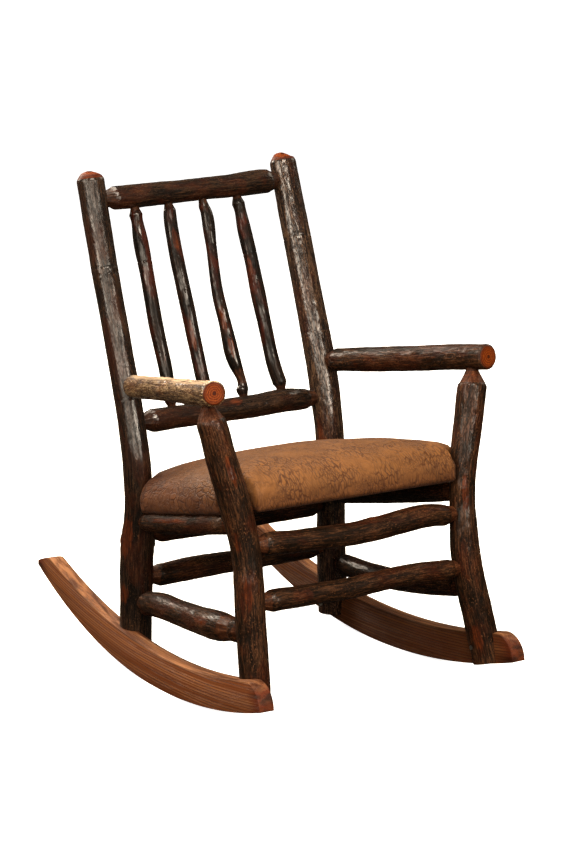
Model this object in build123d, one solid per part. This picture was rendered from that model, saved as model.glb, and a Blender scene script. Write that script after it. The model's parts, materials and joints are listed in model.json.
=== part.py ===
from build123d import *
import math
import os

# Rocking chair of round, bark-covered poles: bent posts, tenoned rails and
# spindles, sawn rocker boards lapped on the outside of the feet, and an
# upholstered seat. Millimetres; +X is the sitter's left, -Y the front, +Z up.
# The origin is on the floor, at the middle of the chair's outline.

os.makedirs("parts", exist_ok=True)

# ---------------------------------------------------------------- posts
back_height = 973.0        # floor to the domed tops of the rear posts
back_half = 233.0          # middle of the chair to a rear post's centre
back_setback = 102.0       # middle of the chair back to the rear feet
back_rake = 18.6           # degrees that the back leans from upright
back_bend_height = 427.0   # where the rear posts start to lean
back_dome = 17.0           # height of a rear post's rounded top
front_half = 254.0         # middle of the chair to a front post, at the seat
front_foot_ahead = 379.5   # middle of the chair forward to the front feet
front_lean = 9.7           # degrees that the front posts lean back
front_top_height = 608.0   # floor to a front post's shoulder, under the arm
post_point = 30.0          # length of the pencil point under the arm

# ---------------------------------------------------------------- joinery
rail_tenon_radius = 14.0
rail_tenon_depth = 23.0
rail_taper = 20.0          # length of a rail's rounded shoulder
spindle_tenon_radius = 8.0
spindle_tenon_depth = 15.0
spindle_taper = 14.0
shoulder_bite = 1.0        # how far a shoulder's end is let in past flush
post_tenon_radius = 13.0
post_tenon_depth = 27.0

station_spacing = 46.0     # between the circles that a pole is lofted through

# ---------------------------------------------------------------- heights
top_rail_height = 920.0
top_rail_slant = 4.0       # rise of the top rail towards the sitter's left
lower_rail_height = 490.0
arm_rear_height = 562.0
arm_front_height = 639.0   # centre of an arm's front end
arm_front_half = 314.0     # middle of the chair to an arm's front end
arm_front_ahead = 318.0    # middle of the chair forward to an arm's front end
arm_end_bevel = 4.0
upper_front_height = 338.0
lower_front_height = 233.0
side_rear_height = 132.0
side_front_height = 178.0
side_slant = 10.0          # the left side stretcher's front end is this much higher
rear_stretcher_height = 176.0
rear_rail_drop = 67.0      # rear seat rail below the seat board, at the middle

# ---------------------------------------------------------------- rockers
rocker_length = 924.0
rocker_front_radius = 1386.0   # of the rolling curve ahead of the resting line
rocker_back_radius = 1105.0    # and behind it
contact_ahead = 55.0       # middle of the chair forward to the resting line
rocker_thickness = 31.0
rocker_depth = 69.0        # height of the board under the seat
rocker_nose_depth = 60.0   # height of the board behind its rounded nose
rocker_tail_depth = 48.0   # height of the board before its tail
rocker_nose = 62.0         # length of the rounded nose
rocker_tail = 56.0         # length of the sloped tail end
rocker_tip = 9.0           # height of the blunt tip of the tail
rocker_half = 255.5        # middle of the chair to a board's inner face
rocker_toe = 2.5           # degrees that each board turns out at the front
rocker_edge = 2.5          # rounding of the boards' long edges
tongue_lift = 2.0          # feet stop this far above the rolling curve
rear_foot_height = 27.0    # floor to the rear feet's sawn ends

# ---------------------------------------------------------------- seat
seat_height = 333.0        # floor to the seat board's underside, at the middle
seat_tilt = 12.2           # degrees that the seat drops towards the back
seat_front_half = 276.0
seat_back_half = 241.0
seat_front_ahead = 332.0   # middle of the chair forward to the seat's edge
seat_back_behind = 112.0   # middle of the chair back to the seat's edge
seat_corner = 14.0
board_thickness = 15.0
foam_crown = 82.0          # thickness of the padding in the middle
cover_thickness = 2.0
post_gap = 2.0             # between the seat and the posts that it is cut round
rail_flat = 2.0            # depth of the flat planed along the side seat rails
# (height over the board, how far in from the edge) up the padding's side
foam_levels = [
    (0, 0), (20, -4), (36, 0), (50, 13), (61, 36), (69, 70), (76, 110), (foam_crown, 165),
]
corner_growth = 0.6        # how much a level's corner radius grows with its inset

# ---------------------------------------------------------------- screws
screw_radius = 2.1
screw_head_radius = 4.4
screw_head_length = 3.2
screw_clearance = 0.4      # radial, in the piece that the screw passes through
screw_bite = 20.0          # length of a rocker screw in the board
screw_rise = 36.0          # rolling curve to a rocker screw's centre
seat_screw_bite = 9.0
seat_screw_y = [-150.0, 10.0]

UP = Vector(0, 0, 1)


def lay(z):
    """Y of the rear posts' centre line at a height."""
    rise = max(0.0, z - back_bend_height)
    return back_setback + rise * math.tan(math.radians(back_rake))


def front_line(z):
    """Y of the front posts' centre line at a height."""
    return -front_foot_ahead + z * math.tan(math.radians(front_lean))


def resample(stations, spacing):
    """Evenly spaced stations on a smooth curve through the given ones."""
    reach = [0.0]
    for a, b in zip(stations, stations[1:]):
        reach.append(reach[-1] + math.dist(a[:3], b[:3]))
    slopes = []
    last = len(stations) - 1
    for i in range(last + 1):
        low = max(i - 1, 0)
        high = min(i + 1, last)
        span = reach[high] - reach[low]
        slopes.append([(stations[high][k] - stations[low][k]) / span for k in range(4)])
    count = max(2, round(reach[-1] / spacing))
    result = []
    for n in range(count + 1):
        s = reach[-1] * n / count
        i = max(j for j in range(last) if reach[j] <= s)
        span = reach[i + 1] - reach[i]
        t = (s - reach[i]) / span
        ease = t * t * (3 - 2 * t)
        start = t * (1 - t) ** 2 * span
        stop = t * t * (t - 1) * span
        result.append(tuple(
            stations[i][k] + (stations[i + 1][k] - stations[i][k]) * ease
            + slopes[i][k] * start + slopes[i + 1][k] * stop
            for k in range(4)
        ))
    return result


class Stick:
    """A round pole: stations along its centre line, each with a radius."""

    def __init__(self, stations, reference):
        even = resample(stations, station_spacing)
        self.points = [Vector(*s[:3]) for s in even]
        self.radii = [s[3] for s in even]
        self.reference = reference
        self.first_way = self.points[1] - self.points[0]
        self.last_way = self.points[-1] - self.points[-2]

    def at(self, value, axis):
        """Centre and radius where the line crosses a coordinate value."""
        for i in range(len(self.points) - 1):
            a = self.points[i]
            b = self.points[i + 1]
            low = min(tuple(a)[axis], tuple(b)[axis])
            high = max(tuple(a)[axis], tuple(b)[axis])
            if low <= value <= high or i == len(self.points) - 2:
                span = tuple(b)[axis] - tuple(a)[axis]
                t = (value - tuple(a)[axis]) / span
                radius = self.radii[i] + (self.radii[i + 1] - self.radii[i]) * t
                return a + (b - a) * t, radius

    def body(self):
        """The pole's skin, lofted through a circle at each station."""
        circles = []
        last = len(self.points) - 1
        for i, (point, radius) in enumerate(zip(self.points, self.radii)):
            if i == 0:
                way = self.first_way
            elif i == last:
                way = self.last_way
            else:
                way = self.points[i + 1] - self.points[i - 1]
            plane = Plane(point, x_dir=self.reference, z_dir=way)
            circles.append(plane * Circle(radius))
        return loft(circles)


def end_piece(centre, host_radius, outward, body_radius, tenon_radius, taper, tenon_depth):
    """A tapered shoulder and its tenon, let into another pole.

    centre is on the other pole's centre line, and outward points out of this
    pole. The shoulder's end lies just deeper than the other pole's curve.
    """
    face_point = centre - outward * host_radius
    curve = host_radius - math.sqrt(host_radius ** 2 - tenon_radius ** 2)
    sink = curve + shoulder_bite
    root = face_point - outward * taper
    cone = Cone(
        body_radius, tenon_radius, taper + sink, align=(Align.CENTER, Align.CENTER, Align.MIN)
    )
    tenon = Cylinder(
        tenon_radius, tenon_depth - sink, align=(Align.CENTER, Align.CENTER, Align.MIN)
    )
    return Plane(root, z_dir=outward) * (cone + Pos(0, 0, taper + sink) * tenon)


def tenoned(start, end, bends, tenon_radius, taper, tenon_depth, reference=UP):
    """A pole between two others. start and end are (centre, radius) on them.

    bends is a list of (share of the length, sideways, up, radius). Returns the
    solid, its Stick, and the two end pieces that cut the mortises.
    """
    a, radius_a = start
    b, radius_b = end
    along = (b - a).normalized()
    side = along.cross(UP)
    if side.length < 0.5:
        side = Vector(1, 0, 0)
    side = (side - along * side.dot(along)).normalized()
    up = side.cross(along)
    first = bends[0][3]
    final = bends[-1][3]
    root_a = a + along * (radius_a + taper)
    root_b = b - along * (radius_b + taper)
    span = root_b - root_a
    stations = [(*tuple(root_a), first)]
    for share, sideways, lift, radius in bends[1:-1]:
        point = root_a + span * share + side * sideways + up * lift
        stations.append((*tuple(point), radius))
    stations.append((*tuple(root_b), final))
    stick = Stick(stations, reference)
    stick.first_way = along
    stick.last_way = along
    near = end_piece(a, radius_a, along * -1, first, tenon_radius, taper, tenon_depth)
    far = end_piece(b, radius_b, along, final, tenon_radius, taper, tenon_depth)
    return stick.body() + near + far, stick, near, far


def save(solid, name):
    solid.label = name
    export_step(solid, "parts/" + name + ".step")


# ---------------------------------------------------------------- rockers
rocker_front_y = -rocker_length / 2
rocker_back_y = rocker_length / 2


def roll_height(y, lift=0.0):
    """Height of the rolling curve, or of a curve lift above it, at y."""
    full = rocker_front_radius if y < -contact_ahead else rocker_back_radius
    return full - math.sqrt((full - lift) ** 2 - (y + contact_ahead) ** 2)


def roll_point(y, lift=0.0):
    return (y, roll_height(y, lift))


def roll_edges(lift=0.0):
    """The rolling curve from the back end to the front end."""
    rest_y = -contact_ahead
    back_mid = (rocker_back_y + rest_y) / 2
    front_mid = (rocker_front_y + rest_y) / 2
    return [
        ThreePointArc(roll_point(rocker_back_y, lift), roll_point(back_mid, lift), (rest_y, lift)),
        ThreePointArc((rest_y, lift), roll_point(front_mid, lift), roll_point(rocker_front_y, lift)),
    ]


def skirt_edges(high_back, high_front, depth):
    """Edges down to depth below the floor and back up to the front end."""
    low_back = (rocker_back_y, -depth)
    low_front = (rocker_front_y, -depth)
    return [Line(high_back, low_back), Line(low_back, low_front), Line(low_front, high_front)]


def rocker_profile(skirt=0.0):
    """Side outline of a rocker board, drawn in Y (across) and Z (up).

    skirt draws the outline down to that far below the floor instead.
    """
    nose_top_y = rocker_front_y + rocker_nose
    tail_top_y = rocker_back_y - rocker_tail
    nose_low = roll_point(rocker_front_y)
    nose_top = roll_point(nose_top_y, rocker_nose_depth)
    middle_top = (-contact_ahead, rocker_depth)
    tail_top = roll_point(tail_top_y, rocker_tail_depth)
    tip_low = roll_point(rocker_back_y)
    tip_high = (rocker_back_y, tip_low[1] + rocker_tip)
    nose_mid = (
        rocker_front_y + rocker_nose * 0.25,
        nose_low[1] + (nose_top[1] - nose_low[1]) * 0.76,
    )
    tail_mid = (
        tail_top_y + rocker_tail * 0.55,
        tip_high[1] + (tail_top[1] - tip_high[1]) * 0.62,
    )
    edges = [
        ThreePointArc(nose_low, nose_mid, nose_top),
        ThreePointArc(nose_top, middle_top, tail_top),
        ThreePointArc(tail_top, tail_mid, tip_high),
    ]
    if skirt:
        edges += skirt_edges(tip_high, nose_low, skirt)
    else:
        edges += [Line(tip_high, tip_low)] + roll_edges()
    return make_face(Wire(edges))


def beside(solid, side):
    """Set a solid, drawn in YZ and grown along +X, at a rocker's inner face."""
    turned = Rot(0, 0, rocker_toe) * solid
    placed = Pos(rocker_half, 0, 0) * turned
    return placed if side > 0 else mirror(placed, about=Plane.YZ)


def grown(profile, start, length):
    """Grow a YZ profile along +X from start."""
    return Pos(start, 0, 0) * extrude(Plane.YZ * profile, amount=length)


board_blank = grown(rocker_profile(), 0, rocker_thickness)
long_edges = board_blank.edges().filter_by(GeomType.CIRCLE)
board_blank = fillet(long_edges, rocker_edge)
lap_blank = grown(rocker_profile(skirt=rocker_depth), 0, 4 * rocker_thickness)
curve = roll_edges(tongue_lift)
sole = make_face(Wire(curve + skirt_edges(curve[0] @ 0, curve[1] @ 1, rocker_depth)))
floor_cut = grown(sole, -2 * rocker_half, 4 * rocker_half)


def below(z):
    """All that is under a height."""
    wide = 2 * rocker_length
    return Pos(0, 0, z) * Box(wide, wide, wide, align=(Align.CENTER, Align.CENTER, Align.MAX))


# ---------------------------------------------------------------- posts
def post_stations(line, half, bottom, top, wobble, side):
    """wobble: (share of the height, outwards, back, radius) at each station."""
    stations = []
    for share, out, back, radius in wobble:
        z = bottom + (top - bottom) * share
        stations.append((side * (half + out), line(z) + back, z, radius))
    return stations


rear_top = back_height - back_dome
rear_wobble = {
    -1: [
        (0.00, 5, 1, 30.5), (0.13, 5, 3, 32.0), (0.22, 3, 4, 33.6), (0.31, 0, -1, 30.0),
        (0.36, 0, -2, 28.6), (0.42, 0, 3, 28.4), (0.48, 0, 4, 27.8), (0.58, 0, 0, 27.2),
        (0.70, 0, 1, 26.6), (0.86, 0, 2, 27.0), (1.00, 0, -2, 27.6),
    ],
    1: [
        (0.00, 8, 20, 30.0), (0.15, 8, 18, 30.6), (0.24, 3, 12, 29.5), (0.33, 0, 9, 29.6),
        (0.42, -1, 11, 29.6), (0.46, -1, 13, 30.0), (0.52, -1, 6, 30.8), (0.59, -1, 2, 31.0),
        (0.75, -1, 5, 29.0), (0.88, -1, 9, 28.6), (1.00, -1, 12, 27.6),
    ],
}
front_top = front_top_height - post_point
front_wobble = {
    -1: [
        (0.00, 8, 0, 29.6), (0.18, 4, -3, 29.5), (0.38, 1, -5, 28.9), (0.48, -2, -5, 29.0),
        (0.57, -3, -4, 28.0), (0.66, 4, -3, 29.4), (0.77, 17, -4, 30.2), (0.88, 32, -4, 29.4),
        (1.00, 48, -6, 28.0),
    ],
    1: [
        (0.00, 19, 0, 31.4), (0.18, 14, -4, 31.6), (0.31, 3, -5, 30.2), (0.45, -6, -5, 29.4),
        (0.58, -3, -4, 26.8), (0.66, 1, -4, 25.4), (0.75, 9, -5, 26.8), (0.86, 25, -5, 28.8),
        (1.00, 45, -6, 29.0),
    ],
}

rear_sticks = {}
front_sticks = {}
for side in (-1, 1):
    rear_sticks[side] = Stick(
        post_stations(lay, back_half, 0.0, rear_top, rear_wobble[side], side), Vector(1, 0, 0)
    )
    front_sticks[side] = Stick(
        post_stations(front_line, front_half, 0.0, front_top, front_wobble[side], side),
        Vector(1, 0, 0),
    )

rear_posts = {}
front_posts = {}
for side in (-1, 1):
    stick = rear_sticks[side]
    radius = stick.radii[-1]
    dome_outline = make_face(
        Wire(
            [
                Line((0, 0), (radius, 0)),
                ThreePointArc((radius, 0), (radius * 0.74, back_dome * 0.66), (0, back_dome)),
                Line((0, back_dome), (0, 0)),
            ]
        )
    )
    dome = revolve(Plane.XZ * dome_outline, axis=Axis.Z)
    top_plane = Plane(stick.points[-1], x_dir=Vector(1, 0, 0), z_dir=stick.last_way)
    rear_posts[side] = stick.body() + top_plane * dome

# ---------------------------------------------------------------- arms
arm_bends = {
    -1: [(0, 0, 0, 22.4), (0.26, 0, 0, 22.6), (0.50, 0, 0, 23.2), (0.80, 0, -2, 24.4), (1, 0, 0, 24.6)],
    1: [(0, 0, 0, 23.4), (0.26, 0, 0, 25.4), (0.56, 0, 0, 25.4), (0.84, 0, 1, 25.4), (1, 0, 0, 25.2)],
}
arms = {}
for side in (-1, 1):
    post_centre, post_radius = rear_sticks[side].at(arm_rear_height, 2)
    front_end = Vector(side * arm_front_half, -arm_front_ahead, arm_front_height)
    along = (front_end - post_centre).normalized()
    root = post_centre + along * (post_radius + rail_taper)
    span = front_end - root
    stations = []
    for share, sideways, lift, radius in arm_bends[side]:
        point = root + span * share + Vector(sideways, 0, lift)
        stations.append((*tuple(point), radius))
    arm_stick = Stick(stations, UP)
    arm_stick.first_way = along
    shoulder = end_piece(
        post_centre, post_radius, along * -1, stations[0][3],
        rail_tenon_radius, rail_taper, rail_tenon_depth,
    )
    pole = arm_stick.body() + shoulder
    end_face = pole.faces().sort_by(Axis.Y)[0]
    arms[side] = chamfer(end_face.edges(), arm_end_bevel)
    rear_posts[side] -= shoulder

    # The front post's pencil point and its tenon, up into the arm.
    stick = front_sticks[side]
    under, arm_radius = arm_stick.at(front_line(front_top_height), 1)
    base = stick.points[-1]
    aim = (under - base).normalized()
    neck = base + aim * post_point
    point_cone = Plane(base, z_dir=aim) * Cone(
        stick.radii[-1], post_tenon_radius, post_point,
        align=(Align.CENTER, Align.CENTER, Align.MIN),
    )
    reach = (under - neck).length - arm_radius + post_tenon_depth
    tenon = Plane(neck, z_dir=aim) * Cylinder(
        post_tenon_radius, reach, align=(Align.CENTER, Align.CENTER, Align.MIN)
    )
    stick.last_way = aim
    front_posts[side] = stick.body() + point_cone + tenon
    arms[side] -= point_cone + tenon


def join(name, start_post, end_post, start, end, bends, ends=None):
    """Make a rail between two posts, cut its mortises, and write it."""
    radius, taper, depth = ends or (rail_tenon_radius, rail_taper, rail_tenon_depth)
    solid, stick, near, far = tenoned(start, end, bends, radius, taper, depth)
    start_post[0][start_post[1]] -= near
    end_post[0][end_post[1]] -= far
    return solid, stick


# ---------------------------------------------------------------- back
def across(sticks, height):
    """Centre and radius of the left and right posts at a height."""
    return sticks[-1].at(height, 2), sticks[1].at(height, 2)


start = rear_sticks[-1].at(top_rail_height - top_rail_slant / 2, 2)
end = rear_sticks[1].at(top_rail_height + top_rail_slant / 2, 2)
top_rail, top_stick = join(
    "top_rail", (rear_posts, -1), (rear_posts, 1), start, end,
    [(0, 0, -1, 23.4), (0.16, 0, -1, 23.8), (0.55, 0, -1, 22.8), (0.80, 0, -1, 24.2),
     (0.89, 0, 0, 25.2), (1, 0, -1, 24.2)],
)
start, end = across(rear_sticks, lower_rail_height)
lower_rail, lower_stick = join(
    "lower_back_rail", (rear_posts, -1), (rear_posts, 1), start, end,
    [(0, 0, 0, 23.6), (0.20, 0, 0, 22.8), (0.48, 0, 0, 23.2), (0.66, 0, 0, 23.6),
     (0.86, 0, 3, 24.2), (1, 0, 0, 21.6)],
)

# (x at the lower rail, x at the top rail, bends) for each spindle.
spindle_lines = [
    (-135, -142, [(0, 0, 0, 13.0), (0.16, 2, 0, 14.0), (0.38, -1, 0, 14.6), (0.56, -1, 0, 14.6),
                  (0.66, 0, 0, 13.8), (0.80, 0, 0, 15.4), (1, 0, 0, 14.0)]),
    (-50, -62, [(0, 0, 0, 14.0), (0.20, -2, 0, 14.2), (0.42, -3, 0, 14.6), (0.72, -5, 0, 14.1),
                (0.90, -4, 0, 13.8), (1, 0, 0, 12.8)]),
    (37, 20, [(0, 0, 0, 13.0), (0.12, -3, 0, 13.0), (0.29, -8, 0, 14.9), (0.38, -8, 0, 12.8),
              (0.50, -10, 0, 12.2), (0.62, -8, 0, 11.6), (0.77, -2, 0, 11.4), (0.88, 1.5, 0, 12.6),
              (1, 0, 0, 11.0)]),
    (129, 103, [(0, 0, 0, 15.0), (0.13, -5, 0, 14.6), (0.30, -4, 0, 14.0), (0.47, -3, 0, 15.4),
                (0.58, -1, 0, 14.8), (0.75, 0, 0, 14.8), (1, 0, 0, 13.4)]),
]
spindle_ends = (spindle_tenon_radius, spindle_taper, spindle_tenon_depth)
back_rails = {"top": top_rail, "low": lower_rail}
for i, (low_x, top_x, bends) in enumerate(spindle_lines):
    spindle, _ = join(
        "spindle", (back_rails, "low"), (back_rails, "top"),
        lower_stick.at(low_x, 0), top_stick.at(top_x, 0), bends, spindle_ends,
    )
    save(spindle, "spindle_%d" % (i + 1))
save(back_rails["top"], "top_rail")
save(back_rails["low"], "lower_back_rail")

# ---------------------------------------------------------------- stretchers
start, end = across(rear_sticks, rear_stretcher_height)
rear_stretcher, _ = join(
    "rear_stretcher", (rear_posts, -1), (rear_posts, 1), start, end,
    [(0, 0, 0, 22.8), (0.27, 0, 2, 23.7), (0.47, 0, 1, 22.2), (0.70, 0, -1, 21.3), (1, 0, 0, 21.4)],
)
start, end = across(front_sticks, upper_front_height)
upper_front, _ = join(
    "front_upper_stretcher", (front_posts, -1), (front_posts, 1), start, end,
    [(0, 0, 0, 22.4), (0.30, 0, -5, 22.3), (0.46, 0, -7, 22.5), (0.63, 0, -4, 23.1),
     (0.75, 0, 1, 23.8), (0.90, 0, 5, 22.8), (1, 0, 3, 21.4)],
)
start, end = across(front_sticks, lower_front_height)
lower_front, _ = join(
    "front_lower_stretcher", (front_posts, -1), (front_posts, 1), start, end,
    [(0, 0, 0, 21.6), (0.17, 0, -1, 20.6), (0.45, 0, -2, 20.0), (0.62, 0, 2, 20.8),
     (0.80, 0, 3, 21.0), (1, 0, 3, 20.4)],
)
save(rear_stretcher, "rear_stretcher")
save(upper_front, "front_upper_stretcher")
save(lower_front, "front_lower_stretcher")

side_bends = {
    -1: [(0, 0, 0, 24.4), (0.15, 0, 4, 25.8), (0.38, 0, 0, 25.6), (0.60, 0, -3, 27.2),
         (0.77, 0, -3, 29.0), (0.87, 0, -2, 26.6), (1, 0, 0, 24.4)],
    1: [(0, 0, 0, 22.6), (0.18, 0, -7, 22.6), (0.36, 0, -10, 22.4), (0.55, 0, -10, 22.2),
        (0.80, 0, -6, 22.0), (1, 0, 0, 21.8)],
}
side_heights = {-1: (side_rear_height, side_front_height),
                1: (side_rear_height + 4, side_front_height + side_slant)}
for side, name in ((-1, "side_stretcher_right"), (1, "side_stretcher_left")):
    stretcher, _ = join(
        name, (rear_posts, side), (front_posts, side),
        rear_sticks[side].at(side_heights[side][0], 2),
        front_sticks[side].at(side_heights[side][1], 2),
        side_bends[side],
    )
    save(stretcher, name)

# ---------------------------------------------------------------- seat rails
tilt = math.radians(seat_tilt)
seat_plane = Plane((0, 0, seat_height), x_dir=(1, 0, 0), z_dir=(0, math.sin(tilt), math.cos(tilt)))
seat_front = -seat_front_ahead / math.cos(tilt)
seat_back = seat_back_behind / math.cos(tilt)


def under_seat(y, drop):
    """Height of a line drop below the board's underside, at y."""
    return seat_height - y * math.tan(tilt) - drop / math.cos(tilt)


rail_radii = {-1: (19.6, 21.2, 21.0, 20.6), 1: (22.4, 23.2, 23.2, 22.6)}
above_seat = seat_plane * Box(
    4 * seat_front_half, 4 * seat_front_half, seat_height,
    align=(Align.CENTER, Align.CENTER, Align.MIN),
)
side_rails = {}
rail_lines = {}
for side in (-1, 1):
    radii = rail_radii[side]
    drop = radii[0] - rail_flat
    ends = []
    for stick, y in ((rear_sticks[side], back_setback), (front_sticks[side], -seat_front_ahead)):
        centre, _ = stick.at(under_seat(y, drop), 2)
        ends.append(stick.at(under_seat(centre.Y, drop), 2))
    bends = []
    for share, radius in zip((0, 0.35, 0.70, 1), radii):
        bends.append((share, 0, radii[0] - radius, radius))
    bends[-1] = (1, 0, 0, radii[-1])
    rail, line = join("rail", (rear_posts, side), (front_posts, side), ends[0], ends[1], bends)
    side_rails[side] = rail - above_seat
    rail_lines[side] = line

start, end = across(rear_sticks, seat_height - rear_rail_drop)
rear_rail, _ = join(
    "seat_rail_rear", (rear_posts, -1), (rear_posts, 1), start, end,
    [(0, 0, 0, 21.4), (0.35, 0, -1, 22.2), (0.70, 0, 0, 21.6), (1, 0, 0, 21.2)],
    (10.5, rail_taper, rail_tenon_depth),
)
save(rear_rail, "seat_rail_rear")


# ---------------------------------------------------------------- seat
def seat_outline(inset):
    """The seat's plan at an inset from the foam's edge, in the seat's plane."""
    front = seat_front + inset
    back = seat_back - inset
    corners = [
        (-(seat_front_half - inset), front),
        (seat_front_half - inset, front),
        (seat_back_half - inset, back),
        (-(seat_back_half - inset), back),
    ]
    face = make_face(Polyline(*corners, close=True))
    rounding = seat_corner + max(0.0, corner_growth * inset)
    return fillet(face.vertices(), min(rounding, 0.45 * (back - front)))


def slab(inset, bottom, height):
    return seat_plane * (Pos(0, 0, bottom) * extrude(seat_outline(inset), amount=height))


def padding(grow):
    """The crowned padding, or its skin's outside at grow."""
    sections = []
    for rise, inset in foam_levels:
        w = board_thickness + rise + (grow if inset > seat_corner else 0.0)
        sections.append(seat_plane * (Pos(0, 0, w) * seat_outline(inset - grow)))
    return loft(sections, ruled=True)


def notch(stick, side, ahead, gap):
    """A block that clears a post, and all that lies outside it."""
    edge_y = -seat_front_ahead if ahead else seat_back_behind
    size = 6 * rocker_thickness
    inner_x = []
    inner_y = []
    radii = []
    for share in (0, 0.25, 0.5, 0.75, 1):
        centre, radius = stick.at(under_seat(edge_y, -foam_crown * share), 2)
        radii.append(radius)
        inner_x.append(abs(centre.X) - radius - gap)
        if ahead:
            local = seat_plane.to_local_coords(centre)
            inner_y.append(local.Y + radius + gap)
        else:
            inner_y.append(centre.Y - radius - gap)
    x = min(inner_x)
    y = max(inner_y) if ahead else min(inner_y)
    block = Box(size, size, 2 * size, align=(Align.MIN, Align.MAX if ahead else Align.MIN, Align.CENTER))
    corner = block.edges().filter_by(Axis.Z).sort_by(lambda e: e.center().X)[:2]
    inner = corner.sort_by(Axis.Y)[-1 if ahead else 0]
    block = fillet(inner, min(radii))
    placed = Pos(x, y, 0) * block
    if ahead:
        placed = seat_plane * placed
    else:
        placed = Pos(0, 0, seat_height) * placed
    return placed if side > 0 else mirror(placed, about=Plane.YZ)


seat_board = slab(0, 0, board_thickness)
seat_foam = padding(0)
seat_skin = padding(cover_thickness) + slab(-cover_thickness, 0, board_thickness)
for side in (-1, 1):
    for stick, ahead in ((front_sticks[side], True), (rear_sticks[side], False)):
        wide = notch(stick, side, ahead, post_gap + cover_thickness)
        seat_board -= wide
        seat_foam -= wide
        seat_skin -= notch(stick, side, ahead, post_gap)
seat_cover = seat_skin - seat_foam - seat_board

# ---------------------------------------------------------------- seat screws
seat_screws = []
for side in (-1, 1):
    for y in seat_screw_y:
        centre, radius = rail_lines[side].at(y, 1)
        entry = seat_plane.to_local_coords(centre)
        low = entry.Z - radius
        head_low = low + screw_head_length
        axis_plane = seat_plane * Pos(entry.X, entry.Y, 0)
        up_align = (Align.CENTER, Align.CENTER, Align.MIN)
        shank = Pos(0, 0, low) * Cylinder(screw_radius, seat_screw_bite - low, align=up_align)
        head = Pos(0, 0, head_low) * Cylinder(screw_head_radius, screw_head_length, align=up_align)
        above_head = Pos(0, 0, low) * Box(4 * radius, 4 * radius, 2 * screw_head_length)
        seat_screws.append(axis_plane * (shank - above_head + head))
        hole = Pos(0, 0, low - radius) * Cylinder(
            screw_radius + screw_clearance, 4 * radius, align=up_align
        )
        bore = Pos(0, 0, low - radius) * Cylinder(
            screw_head_radius + screw_clearance, radius + 2 * screw_head_length, align=up_align
        )
        side_rails[side] -= axis_plane * hole
        side_rails[side] -= axis_plane * bore
        seat_board -= axis_plane * Cylinder(screw_radius, seat_screw_bite, align=up_align)
save(side_rails[-1], "seat_rail_right")
save(side_rails[1], "seat_rail_left")
save(seat_board, "seat_board")
save(seat_foam, "seat_foam")
save(seat_cover, "seat_cover")
save(Compound(children=seat_screws), "seat_screws")

# ---------------------------------------------------------------- feet, rockers
side_words = {-1: "right", 1: "left"}
rocker_screws = []
for side in (-1, 1):
    rocker = beside(board_blank, side)
    for posts, stick, sawn in (
        (front_posts, front_sticks[side], floor_cut),
        (rear_posts, rear_sticks[side], below(rear_foot_height)),
    ):
        post = posts[side] - beside(lap_blank, side) - sawn
        centre, radius = stick.at(roll_height(stick.points[0].Y) + screw_rise, 2)
        face_x = side * (rocker_half - centre.Y * math.tan(math.radians(rocker_toe)))
        out = Vector(side, 0, 0).rotate(Axis.Z, side * rocker_toe)
        seat_point = Vector(face_x, centre.Y, centre.Z)
        tongue = radius + abs(face_x) - abs(centre.X)
        screw_plane = Plane(seat_point, z_dir=out)
        head_at = -tongue + screw_head_length
        up_align = (Align.CENTER, Align.CENTER, Align.MIN)
        shank = Pos(0, 0, head_at) * Cylinder(screw_radius, screw_bite - head_at, align=up_align)
        head = Pos(0, 0, head_at) * Cylinder(screw_head_radius, screw_head_length, align=up_align)
        hole = Pos(0, 0, -2 * radius) * Cylinder(
            screw_radius + screw_clearance, 2 * radius, align=up_align
        )
        bore = Pos(0, 0, -2 * radius) * Cylinder(
            screw_head_radius + screw_clearance,
            2 * radius + head_at + screw_head_length, align=up_align,
        )
        posts[side] = post - screw_plane * hole - screw_plane * bore
        rocker -= screw_plane * Cylinder(screw_radius, screw_bite, align=up_align)
        rocker_screws.append(screw_plane * (shank + head))
    save(rocker, "rocker_" + side_words[side])
    save(front_posts[side], "front_post_" + side_words[side])
    save(rear_posts[side], "rear_post_" + side_words[side])
    save(arms[side], "arm_" + side_words[side])
save(Compound(children=rocker_screws), "rocker_screws")
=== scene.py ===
# %% [markdown]
# # A rocking chair of bark-covered poles
#
# The chair is made of young tree trunks with the bark left on: posts, rails,
# stretchers, arms and spindles, all round and none quite straight. Their
# ends are whittled to a taper and glued into drilled holes. Two sawn boards,
# curved below, are screwed to the feet, and a padded leather seat rests on
# poles between the posts. The measured model gives every piece its place and
# its size. This lesson gives the pieces their surface: bark ridges, knots,
# shaved ends, sawn grain, and creased leather.

# %% Load the measured model
import json
import math

import bmesh
import bpy
import numpy as np
from mathutils import Matrix, Vector, noise
from mathutils.bvhtree import BVHTree
from mathutils.kdtree import KDTree


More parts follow.
